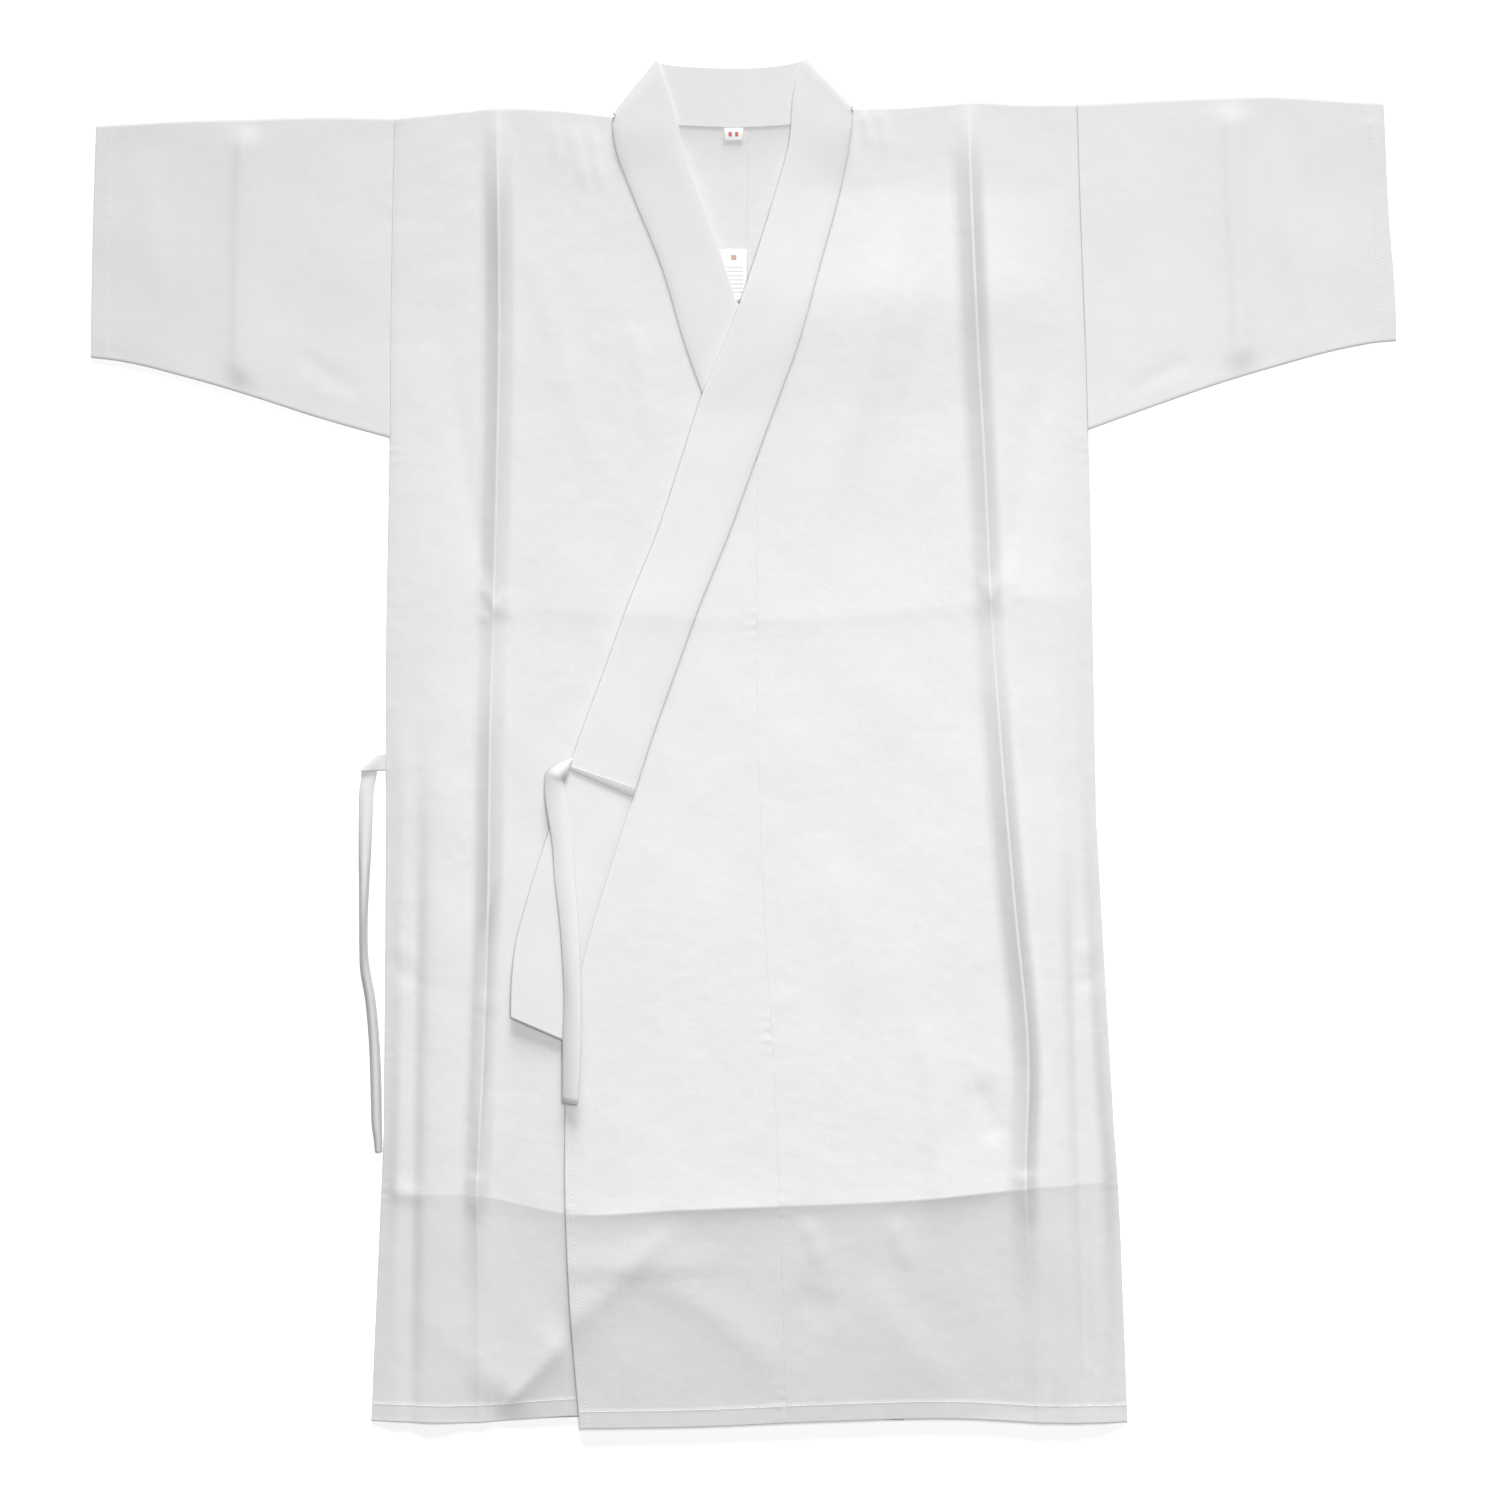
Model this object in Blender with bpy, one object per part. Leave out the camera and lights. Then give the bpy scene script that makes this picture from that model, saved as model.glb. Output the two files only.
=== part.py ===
"""Kyudo jacket for a small adult, buttonless and crossed left over right, lying flat on its back.

Every piece is a panel or strip of cloth. Its middle surface is a net: the points where lines down
the garment cross lines across it. The net is then thickened along its normals into a closed wall.
Sizes are in millimetres, +X to the wearer's left, +Y to the neck, Z up from the table; the meshes
are made in metres.
"""

from collections import namedtuple

import bpy
import numpy as np

MM = 0.001

CLOTH = 1.0
GAP = 0.3
LAYER = CLOTH + GAP
COLLAR = 1.6
TIE = 1.4
HEM_FOLD = 0.6
TURN_INSET = 1.2
CENTRE_BACK = 2.5
CENTRE_FRONT = -1.5
BREAST = 222.0
COLLAR_END = -229.0
END_SLANT = 18.5
BACK_HEM = -516.0
CURL_HEIGHT = 5.0
CURL_TOP = 20.0
CURL_LENGTH = 230.0
TIE_CURL = 2.5
STRIP_INSET = 1.0
CREASE_REACH = 9.0
EDGE_FADE = 14.0

# Heights of the middle of each layer where it lies flat, and of the collar strip behind the neck
# and above its folds.
BACK_HEIGHT = CLOTH / 2
FRONT_HEIGHT = LAYER + CLOTH / 2
NECK_STRIP_HEIGHT = LAYER + COLLAR / 2
FOLDED_STRIP_HEIGHT = NECK_STRIP_HEIGHT + COLLAR + GAP

Down = namedtuple("Down", "y side crease")
RIGHT_BODY = (
    Down(486, -268.5, -189.7),
    Down(420, -270.0, -188.3),
    Down(306, -271.7, -187.7),
    Down(222, -272.2, -189.1),
    Down(105, -274.5, -192.1),
    Down(0, -275.2, -194.6),
    Down(-120, -274.8, -195.9),
    Down(-240, -275.8, -199.6),
    Down(-345, -278.0, -204.3),
    Down(-430, -282.3, -203.7),
    Down(-527, -286.4, -202.9),
)
LEFT_BODY = (
    Down(486, 257.0, 173.1),
    Down(420, 259.0, 175.1),
    Down(306, 263.3, 180.0),
    Down(222, 265.7, 184.8),
    Down(105, 268.3, 190.2),
    Down(0, 269.2, 197.4),
    Down(-120, 274.3, 207.4),
    Down(-240, 280.7, 218.1),
    Down(-345, 288.4, 216.3),
    Down(-430, 292.0, 222.3),
    Down(-527, 295.6, 228.5),
)

# The crossing edge of the left front, from the neck down: where the collar strip is sewn to the
# cloth, and the strip's own free edge.
Edge = namedtuple("Edge", "y x")
COLLAR_SEAM = (
    Edge(490, 84.5),
    Edge(460, 80.9),
    Edge(420, 72.6),
    Edge(370, 59.0),
    Edge(306, 41.3),
    Edge(263, 25.6),
    Edge(222, 10.5),
    Edge(160, -12.1),
    Edge(105, -34.4),
    Edge(50, -54.3),
    Edge(0, -72.0),
    Edge(-60, -90.7),
    Edge(-120, -109.5),
    Edge(-180, -126.2),
    Edge(-229, -135.9),
)
COLLAR_FREE = (
    Edge(527, 48.1),
    Edge(510, 41.2),
    Edge(460, 35.1),
    Edge(420, 24.1),
    Edge(370, 8.6),
    Edge(320, -8.9),
    Edge(263, -33.0),
    Edge(222, -46.0),
    Edge(160, -66.4),
    Edge(105, -88.5),
    Edge(50, -108.4),
    Edge(0, -126.9),
    Edge(-60, -146.5),
    Edge(-120, -165.5),
    Edge(-155, -174.6),
    Edge(-186, -177.8),
    Edge(-212, -178.3),
)
OKUMI_SEAM = (Edge(222, 10.4), Edge(0, 11.0), Edge(-120, 15.0), Edge(-240, 22.3), Edge(-527, 33.0))
OKUMI_FREE = (Edge(-229, -135.9), Edge(-345, -137.0), Edge(-430, -133.6), Edge(-527, -126.0))

# On the right the neckline is drawn from the garment as it lies, and below the crossing it is the
# left edge mirrored.
RIGHT_NECKLINE = (
    Edge(486, -101.3),
    Edge(460, -98.4),
    Edge(420, -84.1),
    Edge(370, -63.7),
    Edge(306, -44.4),
    Edge(263, -28.9),
    Edge(222, -13.5),
)
RIGHT_NECK_FREE = (
    Edge(527, -68.5),
    Edge(510, -61.4),
    Edge(480, -52.0),
    Edge(450, -44.3),
    Edge(419, -33.0),
    Edge(377, -18.1),
    Edge(336, -4.5),
)

# Each collar station pairs a height on the seam with the height on the free edge across the strip.
Station = namedtuple("Station", "seam_y free_y")
COLLAR_STATIONS = (
    Station(482, 518),
    Station(470, 503),
    Station(456, 488),
    Station(423, 441),
    Station(366, 379),
    Station(306, 319),
    Station(222, 238),
    Station(105, 122),
    Station(0, 18),
    Station(-98, -84),
    Station(-180, -169),
    Station(COLLAR_END, COLLAR_END + END_SLANT),
)
OVER_COLLAR_END = Station(-41.5, -20.0)

# Where the strip folds under itself beside the neck.
Fold = namedtuple("Fold", "seam_end free_end")
LEFT_NECK_FOLD = Fold((84.5, 489.5), (48.1, 526.9))
RIGHT_NECK_FOLD = Fold((-100.6, 484.2), (-67.4, 524.8))

# Lines across the garment, as the places (x, y) that each passes through.
RIGHT_SHOULDER = ((-269, 481.2), (-230, 485.1), (-190, 489.0), (-150, 488.0), (-101, 483.0))
LEFT_SHOULDER = ((84, 488.9), (117, 489.5), (155, 492.0), (173, 493.6), (213, 492.0), (257, 492.0))
WAIST_CREASE = (
    (-275, 110.0),
    (-192, 105.5),
    (-95, 101.0),
    (20, 95.5),
    (136, 104.0),
    (190, 111.7),
    (228, 113.0),
    (268, 110.0),
)
LOW_CREASE = (
    (-278, -348.0),
    (-204, -348.0),
    (-136, -361.0),
    (-49, -358.0),
    (28, -355.0),
    (136, -350.0),
    (216, -342.0),
    (290, -336.5),
)
RIGHT_HEM = ((-286, -521.5), (-203, -522.5), (-164, -519.5), (-130, -517.5), (130, -521.0))
LEFT_HEM = ((-126, -527.0), (-33, -525.5), (60, -521.5), (174, -519.5), (232, -522.5), (296, -522.5))
BACK_NECK = ((-101.3, 482.8), (-80, 478.2), (-36, 474.3), (2, 473.6), (43, 476.6), (65, 481.0), (84.5, 489.0))
COLLAR_TOP = ((-67.4, 524.6), (-52, 522.1), (-33, 520.9), (-3, 520.1), (20, 521.3), (36, 523.6), (48, 526.9))

# Shares of the way from one crossing line to the next at which the nets have a row.
CHEST_ROWS = (0.0, 0.03, 0.08, 0.16, 0.28, 0.42, 0.56, 0.70, 0.85)
WAIST_ROWS = (0.0, 0.06, 0.30, 0.60, 0.84, 0.94)
BELLY_ROWS = (0.0, 0.025, 0.07, 0.20, 0.38, 0.55, 0.70, 0.84, 0.94)
THIGH_ROWS = (0.0, 0.20, 0.45, 0.65, 0.80, 0.93)
HEM_ROWS = (0.0, 0.07, 0.18, 0.29, 0.50, 0.72, 0.905, 0.912, 1.0)
CREASE_COLUMNS = (-18.0, -9.0, -4.0, 0.0, 4.0, 9.0, 18.0)
BACK_LEVELS = (-300, -60, 150, 236, 270, 330, 415)
SIDE_COLUMNS = (0.0, 0.25, 0.6)
CHEST_COLUMNS = (0.3, 0.65, 1.0)
OVERLAP_COLUMNS = (0.0, 0.33, 0.67, 1.0)
STRIP_COLUMNS = np.array((0.0, 0.35, 0.7, 1.0))

# Behind the neck the strip's stations are places along its seam and its free edge. The back panel's
# rows there end below the shoulder by a drop, and at a share of the way from the centre to the neck.
NECK_STATIONS = ((68, 40), (43, 28), (2, 0), (-36, -30), (-80, -56))
NECK_FAN = ((28.0, 0.0), (16.0, 0.45), (6.0, 0.8))

# Rest heights of the crossing layers by distance down the garment: the strip rises to pass over
# the other end of itself, and the cloth follows it.
Rest = namedtuple("Rest", "y left_cloth left_seam left_free right_seam right_free")
RESTS = (
    Rest(527, 1.3, 3.2, 3.2, 3.2, 3.2),
    Rest(472, 1.3, 3.2, 3.2, 3.2, 3.2),
    Rest(440, 1.3, 1.4, 3.2, 1.3, 3.2),
    Rest(425, 1.3, 1.4, 3.2, 1.3, 3.2),
    Rest(345, 6.6, 6.6, 6.6, 1.3, 3.2),
    Rest(325, 6.6, 6.6, 6.6, 1.3, 3.2),
    Rest(255, 4.6, 4.6, 4.6, 1.3, 1.3),
    Rest(-527, 4.6, 4.6, 4.6, 1.3, 1.3),
)

# Heights of the pressed creases that run down each front, and of the tent across the lower front.
CREASE_HEIGHT = (
    (-527, 1.0),
    (-400, 2.0),
    (-340, 4.0),
    (0, 5.0),
    (95, 3.5),
    (120, 4.0),
    (300, 5.0),
    (440, 4.5),
    (492, 0.8),
)
WAIST_HEIGHT = 2.0
TENT_HEIGHT = ((-140, 9.0), (0, 11.0), (150, 10.0), (216, 5.0), (250, 2.5), (290, 0.0))
TENT_RISE = 30.0
TENT_FALL = 180.0
RIGHT_TENT = 0.25
SIDE_SWELL = 2.5
SWELL_TOP = 300.0
SWELL_LENGTH = 200.0

# The right front's relief starts this far outside the left collar's free edge and is full further out.
SHOWN_START = 2.0
SHOWN_WIDTH = 30.0

# Sleeves, from the cuff to the armhole.
Tube = namedtuple("Tube", "x top bottom")
RIGHT_SLEEVE = (
    Tube(-501, 475.2, 296.0),
    Tube(-487, 476.0, 294.5),
    Tube(-423, 479.6, 279.6),
    Tube(-384, 480.4, 268.2),
    Tube(-326, 482.4, 249.6),
    Tube(-269, 481.2, 233.5),
)
LEFT_SLEEVE = (
    Tube(258, 492.3, 238.0),
    Tube(309, 494.8, 256.4),
    Tube(373, 497.4, 278.5),
    Tube(406, 498.0, 288.3),
    Tube(463, 494.5, 303.4),
    Tube(486, 493.2, 307.6),
    Tube(502, 492.4, 309.0),
)
RIGHT_CUFF = (Edge(476, -497.8), Edge(364, -500.9), Edge(290, -502.0))
LEFT_CUFF = (Edge(493, 492.4), Edge(420, 495.5), Edge(318, 502.0), Edge(305, 502.0))
SLEEVE_CREASE_SHARE = 0.50
SLEEVE_CREASE_HEIGHT = 2.5
SLEEVE_CREASE_REACH = 0.04
SLEEVE_EDGE_SHARE = 0.125
CUFF_WIDTH = 12.0
CUFF_STEP = 1.0
SLEEVE_ROWS = (0.0, 0.04, 0.12, 0.25, 0.42, 0.60, 0.78, 0.92, 1.0)
SLEEVE_COLUMNS = (0.0, 0.25, 0.44, 0.475, 0.50, 0.525, 0.56, 0.75)

# The two ties. A section has the ends of the tie's width, how far the second end stands above the
# first, and how far its middle stands above both.
Section = namedtuple("Section", "first_x first_y last_x last_y lift arch")
FRONT_TIE = (
    Section(-131.4, -12.0, -136.0, -25.8, 0.0, 0.3),
    Section(-141.0, -15.5, -137.8, -27.6, 0.0, 2.5),
    Section(-148.8, -20.5, -138.4, -29.0, 0.0, 3.0),
    Section(-152.0, -28.0, -137.8, -32.5, 0.0, 2.0),
    Section(-151.6, -45.0, -135.4, -46.5, 0.5, 1.0),
    Section(-146.9, -75.0, -131.5, -76.0, 1.0, 1.0),
    Section(-144.5, -105.5, -129.5, -106.5, 1.5, 0.8),
    Section(-140.8, -137.0, -127.0, -138.5, 2.0, 0.8),
    Section(-138.6, -167.0, -125.6, -168.5, 3.0, 0.8),
    Section(-137.2, -198.0, -125.0, -199.0, 4.0, 0.8),
    Section(-138.2, -229.0, -125.0, -230.0, 4.5, 0.8),
    Section(-138.3, -275.5, -127.0, -276.5, 5.0, 0.5),
)
SIDE_TIE_ROOT = (
    Section(-275.6, -7.7, -275.6, -20.8, 0.0, 0.0),
    Section(-279.0, -8.6, -288.0, -21.4, 0.0, 0.3),
)
SIDE_TIE_FOLD = Fold((-281.4, -7.7), (-294.6, -20.8))
SIDE_TIE = (
    Section(-283.2, -27.0, -293.8, -27.0, 0.0, 0.5),
    Section(-284.9, -36.2, -295.3, -36.2, 0.0, 1.0),
    Section(-285.7, -55.4, -295.7, -55.4, 0.0, 1.5),
    Section(-287.0, -85.0, -295.7, -85.0, 0.0, 2.5),
    Section(-288.6, -110.0, -295.3, -110.0, 0.0, 4.0),
    Section(-289.8, -136.0, -295.2, -136.0, 0.0, 5.5),
    Section(-289.6, -159.0, -295.0, -160.0, 0.0, 5.5),
    Section(-287.8, -175.0, -294.2, -176.5, 0.0, 5.0),
    Section(-283.8, -197.0, -290.4, -199.0, 0.0, 4.5),
    Section(-280.8, -228.0, -287.8, -229.0, 0.0, 4.0),
    Section(-279.3, -259.0, -286.6, -259.5, 0.0, 4.0),
    Section(-278.9, -290.0, -285.8, -290.5, 0.0, 3.5),
    Section(-278.6, -304.0, -284.0, -305.0, 0.0, 3.0),
    Section(-278.6, -314.5, -283.0, -315.0, 0.0, 2.5),
)
ROWS_BETWEEN_SECTIONS = 2
TIE_COLUMNS = np.array((0.0, 0.5, 1.0))

# Labels on the inside of the back: left, right, bottom and top edge.
SIZE_LABEL = (-15.0, -0.4, 463.6, 472.9)
CARE_LABEL = (-17.5, 2.5, 340.0, 379.5)

Finish = namedtuple("Finish", "colour roughness")
COTTON = Finish((0.80, 0.80, 0.80), 0.9)
LABEL = Finish((0.88, 0.88, 0.88), 0.55)


def smooth_line(pairs):
    """A function of the first value of the pairs, smooth through all of them and straight past the ends."""
    table = np.array(sorted((pair[0], pair[1]) for pair in pairs), float)
    at, value = table[:, 0], table[:, 1]
    slope = np.gradient(value, at)

    def line(place):
        place = np.asarray(place, float)
        i = np.clip(np.searchsorted(at, place) - 1, 0, len(at) - 2)
        step = at[i + 1] - at[i]
        s = np.clip((place - at[i]) / step, 0, 1)
        rising = s * s * (3 - 2 * s)
        bend = s * (1 - s) * step * ((1 - s) * slope[i] - s * slope[i + 1])
        past = np.minimum(place - at[0], 0) * slope[0] + np.maximum(place - at[-1], 0) * slope[-1]
        return value[i] + rising * (value[i + 1] - value[i]) + bend + past

    return line


def column(table, name):
    """One named column of a table, as a smooth line down the garment."""
    return smooth_line([(row[0], getattr(row, name)) for row in table])


def rest(name, y):
    """A rest height at y, straight between the rows of the table."""
    table = sorted((row.y, getattr(row, name)) for row in RESTS)
    return np.interp(y, [row[0] for row in table], [row[1] for row in table])


right_side = column(RIGHT_BODY, "side")
right_crease = column(RIGHT_BODY, "crease")
left_side = column(LEFT_BODY, "side")
left_crease = column(LEFT_BODY, "crease")
collar_seam = smooth_line(COLLAR_SEAM)
collar_free = smooth_line(COLLAR_FREE)
okumi_seam = smooth_line(OKUMI_SEAM)
okumi_free = smooth_line(OKUMI_FREE)
right_neckline = smooth_line(RIGHT_NECKLINE)
right_neck_free = smooth_line(RIGHT_NECK_FREE)
station_free = smooth_line(COLLAR_STATIONS)
waist_crease = smooth_line(WAIST_CREASE)
low_crease = smooth_line(LOW_CREASE)
crease_height = smooth_line(CREASE_HEIGHT)
tent_height = smooth_line(TENT_HEIGHT)
back_neck = smooth_line(BACK_NECK)
collar_top = smooth_line(COLLAR_TOP)


def mirrored(line):
    """The line down the other half of the front, about the centre front."""
    return lambda y: 2 * CENTRE_FRONT - line(y)


def level(height):
    """The same height everywhere."""
    return lambda *places: np.full_like(np.asarray(places[0], float), height)


def between(first, second, share):
    """The line that lies this share of the way from the first line to the second."""
    return lambda place: (1 - share) * first(place) + share * second(place)


def joined(upper, lower, height):
    """A line down the garment that changes from one line to another at this height."""
    return lambda y: np.where(y > height, upper(np.maximum(y, height)), lower(np.minimum(y, height)))


def beside(line, distance):
    """The line at this distance from another."""
    return lambda place: line(place) + distance


def crossings(rows, columns):
    """Points (x, y) where each line across, y of x, meets each line down, x of y."""
    y = np.stack([row(np.zeros(len(columns))) for row in rows])
    for _ in range(6):
        x = np.stack([line(y[:, j]) for j, line in enumerate(columns)], axis=1)
        y = np.stack([row(x[i]) for i, row in enumerate(rows)])
    return x, y


def with_height(x, y, z):
    return np.stack(np.broadcast_arrays(x, y, z), axis=-1).astype(float)


def crease_relief(x, y, crease, side):
    """The pressed crease down a front and the swell of the cloth between it and the side seam."""
    ridge = crease_height(y) * np.exp(-np.abs(x - crease(y)) / CREASE_REACH)
    share = np.clip((x - crease(y)) / (side(y) - crease(y)), 0, 1)
    swell = SIDE_SWELL * np.sin(np.pi * share) ** 2 * np.clip((SWELL_TOP - y) / SWELL_LENGTH, 0, 1)
    return ridge + swell


def tent_relief(x, y):
    """The cloth lifted along the low crease: a short rise above it and a long even fall to the hem."""
    above = y - low_crease(x)
    rise = np.exp(-np.maximum(above, 0) / TENT_RISE)
    fall = np.clip(1 + np.minimum(above, 0) / TENT_FALL, 0, 1)
    return np.maximum(tent_height(x), 0) * rise * fall


def edge_fade(x, side):
    return np.clip(np.abs(x - side) / EDGE_FADE, 0, 1)


def waist_relief(x, y):
    return WAIST_HEIGHT * np.exp(-np.abs(y - waist_crease(x)) / CREASE_REACH)


def right_relief(x, y):
    """Relief of the right front, which dies away before it passes under the left front."""
    covering = collar_free(np.maximum(y, COLLAR_FREE[-1].y))
    shown = np.clip((covering + SHOWN_START - x) / SHOWN_WIDTH, 0, 1)
    tent = RIGHT_TENT * tent_relief(x, y)
    creases = crease_relief(x, y, right_crease, right_side)
    return (creases + waist_relief(x, y) + tent) * edge_fade(x, right_side(y)) * shown


def left_relief(x, y):
    creases = crease_relief(x, y, left_crease, left_side)
    return (creases + waist_relief(x, y) + tent_relief(x, y)) * edge_fade(x, left_side(y))


def left_lift(x, y):
    """Rest height of the left front: full as far out as its crease, and down to one layer at the side."""
    share = np.clip((left_side(y) - x) / (left_side(y) - left_crease(y)), 0, 1)
    return LAYER + (rest("left_cloth", y) - LAYER) * share


def left_height(x, y):
    """Middle height of the cloth of the left front and its overlap."""
    return left_lift(x, y) + left_relief(x, y) + CLOTH / 2


def right_height(x, y):
    return FRONT_HEIGHT + right_relief(x, y)


def shaded(name, finish):
    material = bpy.data.materials.new(name)
    material.use_nodes = True
    shader = material.node_tree.nodes["Principled BSDF"]
    shader.inputs["Base Color"].default_value = (*finish.colour, 1.0)
    shader.inputs["Roughness"].default_value = finish.roughness
    shader.inputs["Metallic"].default_value = 0.0
    return material


def normals(net, tube):
    """Unit normals of a net, from its steps along the rows and across them."""
    padded = np.concatenate([net[-1:], net, net[:1]]) if tube else net
    along = np.gradient(padded, axis=0)
    if tube:
        along = along[1:-1]
    normal = np.cross(along, np.gradient(net, axis=1))
    return normal / np.linalg.norm(normal, axis=2, keepdims=True)


def cloth(name, net, finish, outward, inward, tube=False):
    """A closed wall round a net: its faces lie outward and inward of it, and rims join them."""
    rows, columns = net.shape[:2]
    normal = normals(net, tube)
    outward = np.broadcast_to(outward, (rows, columns))[..., None]
    inward = np.broadcast_to(inward, (rows, columns))[..., None]
    faces_out = net + normal * outward
    faces_in = net - normal * inward
    points = np.concatenate([faces_out.reshape(-1, 3), faces_in.reshape(-1, 3)]) * MM
    index = np.arange(rows * columns).reshape(rows, columns)
    if tube:
        index = np.vstack([index, index[:1]])
    a, b, c, d = index[:-1, :-1], index[1:, :-1], index[1:, 1:], index[:-1, 1:]
    inner = rows * columns
    quads = [
        np.stack([a, b, c, d], -1).reshape(-1, 4),
        np.stack([a, d, c, b], -1).reshape(-1, 4) + inner,
    ]
    rims = [(index[:-1, 0], index[1:, 0]), (index[1:, -1], index[:-1, -1])]
    if not tube:
        rims += [(index[0, 1:], index[0, :-1]), (index[-1, :-1], index[-1, 1:])]
    for start, end in rims:
        quads.append(np.stack([end, start, start + inner, end + inner], -1))
    mesh = bpy.data.meshes.new(name)
    mesh.from_pydata(points.tolist(), [], np.concatenate(quads).tolist())
    mesh.materials.append(shaded(name, finish))
    mesh.shade_smooth()
    piece = bpy.data.objects.new(name, mesh)
    bpy.context.scene.collection.objects.link(piece)
    return piece


def turn(lower, upper, outward):
    """Rows that carry a net round a fold, from the row below it to the row above it."""
    middle = (lower + upper) / 2
    radius = np.linalg.norm(upper - lower, axis=1)[:, None] / 2
    angles = np.radians((-45, 0, 45))
    up = (upper - lower) / (2 * radius)
    return np.stack([middle + radius * (np.cos(a) * outward + np.sin(a) * up) for a in angles])


def front_rows(half):
    """Every line across a front, from the shoulder to the hem."""
    guides = (
        beside(half.shoulder, -TURN_INSET),
        level(BREAST),
        waist_crease,
        level(COLLAR_END),
        low_crease,
        half.hem,
    )
    shares = (CHEST_ROWS, WAIST_ROWS, BELLY_ROWS, THIGH_ROWS, HEM_ROWS)
    rows = []
    for first, second, steps in zip(guides, guides[1:], shares):
        rows += [between(first, second, share) for share in steps]
    return rows


def front_columns(half, edge):
    """Lines down a front in the order of X, from side seam past the pressed crease to the inner edge."""
    near = beside(half.crease, -half.sign * CREASE_COLUMNS[0])
    far = beside(half.crease, -half.sign * CREASE_COLUMNS[-1])
    columns = [between(half.side, near, share) for share in SIDE_COLUMNS]
    columns += [beside(half.crease, -half.sign * distance) for distance in CREASE_COLUMNS]
    columns += [between(far, edge, share) for share in CHEST_COLUMNS]
    return columns[:: -half.sign]


def back_net(half, shoulder_row):
    """The back of a body panel, from the hem up to the shoulder.

    Near the neck its rows fan out, so that their inner ends run along the back of the neck.
    """
    x, y = shoulder_row[:, 0], shoulder_row[:, 1]
    outer, inner = (0, -1) if half.sign < 0 else (-1, 0)
    share = (x - x[outer]) / (x[inner] - x[outer])
    centre = CENTRE_BACK + half.sign * GAP / 2
    ends = [(float(half.hem(x[outer])), centre, BACK_HEM)]
    ends += [(height, centre, height) for height in BACK_LEVELS]
    for drop, part in NECK_FAN:
        neck_x = centre + part * (x[inner] - centre)
        ends.append((y[outer] - drop, neck_x, float(back_neck(neck_x)) - GAP))
    rows = []
    for side_y, inner_x, inner_y in ends:
        side_x = float(half.side(side_y))
        row_x = side_x + share * (inner_x - side_x)
        row_y = side_y + share * (inner_y - side_y)
        rows.append(with_height(row_x, row_y, BACK_HEIGHT))
    rows.append(with_height(x, y, BACK_HEIGHT))
    return np.stack(rows)


def hemmed(net):
    """How far a panel's outer face lies from its net: further along the folded hem."""
    outward = np.full(net.shape[:2], CLOTH / 2)
    outward[-2:] += HEM_FOLD
    return outward


def body_panel(half):
    """One body panel, back and front in one piece, folded over the shoulder."""
    seam = beside(half.seam, half.sign * GAP / 2)
    edge = joined(beside(half.neckline, half.sign * GAP), seam, BREAST)
    x, y = crossings(front_rows(half), front_columns(half, edge))
    front = with_height(x, y, half.height(x, y))
    back = back_net(half, front[0])
    fold = turn(back[-1], front[0], np.array((0.0, 1.0, 0.0)))
    net = np.concatenate([back, fold, front])
    cloth(half.name + "_body", net, COTTON, hemmed(net), CLOTH / 2)


def overlap_panel(half):
    """The long overlap sewn to a front, from its point at the breast to the hem."""
    seam = beside(half.seam, -half.sign * GAP / 2)
    rows = front_rows(half)[len(CHEST_ROWS) + 1 :]
    columns = [between(half.overlap, seam, share) for share in OVERLAP_COLUMNS]
    x, y = crossings(rows, columns[:: half.sign])
    net = with_height(x, y, half.height(x, y))
    cloth(half.name + "_okumi", net, COTTON, hemmed(net), CLOTH / 2)


def strip_side(half, height):
    """The collar strip along one front, with a row for each station and columns from seam to free edge."""
    last = len(CHEST_ROWS) + len(WAIST_ROWS) + len(BELLY_ROWS)
    _, y = crossings(front_rows(half)[2 : last + 1], [half.strip_seam])
    seam_y = y[:, 0]
    free_y = station_free(seam_y)
    seam_x = half.strip_seam(seam_y)
    x = seam_x[:, None] + STRIP_COLUMNS * (half.strip_free(free_y) - seam_x)[:, None]
    y = seam_y[:, None] + STRIP_COLUMNS * (free_y - seam_y)[:, None]
    return with_height(x, y, height(x, y) + COLLAR / 2)


def left_strip_height(x, y):
    """The left strip lies on its front, and its loose lower end curls up along the free edge."""
    low = rest("left_seam", y) + STRIP_COLUMNS * (rest("left_free", y) - rest("left_seam", y))
    curl = CURL_HEIGHT * np.clip((CURL_TOP - y) / CURL_LENGTH, 0, 1) ** 2 * STRIP_COLUMNS**2
    return low + left_relief(x, y) + curl


def right_strip_height(x, y):
    return rest("right_seam", y) + STRIP_COLUMNS * (rest("right_free", y) - rest("right_seam", y))


def neck_strip():
    """The strip behind the neck, on the table side of its folds, from left to right of the wearer."""
    seam_x, free_x = np.array(NECK_STATIONS, float).T
    seam_y = back_neck(seam_x)
    x = seam_x[:, None] + STRIP_COLUMNS * (free_x - seam_x)[:, None]
    y = seam_y[:, None] + STRIP_COLUMNS * (collar_top(free_x) - STRIP_INSET - seam_y)[:, None]
    return with_height(x, y, NECK_STRIP_HEIGHT)


def slanting_fold(fold, columns, upper_height, lower_height, cover):
    """Rows round a slanting fold of a strip, from its upper side down to its lower side.

    The fold's ends are on the outline, so the strip's net turns inside them by its cover.
    """
    first, last = np.array(fold.seam_end), np.array(fold.free_end)
    way = (last - first) / np.linalg.norm(last - first)
    outward = np.array((-way[1], way[0])) * np.sign(way[0])
    start = first - outward * ((upper_height - lower_height) / 2 + cover)
    place = start + columns[:, None] * (last - first)
    upper = with_height(place[:, 0], place[:, 1], upper_height)
    lower = with_height(place[:, 0], place[:, 1], lower_height)
    rows = turn(lower, upper, np.append(outward, 0.0))
    return np.concatenate([upper[None], rows[::-1], lower[None]])


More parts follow.
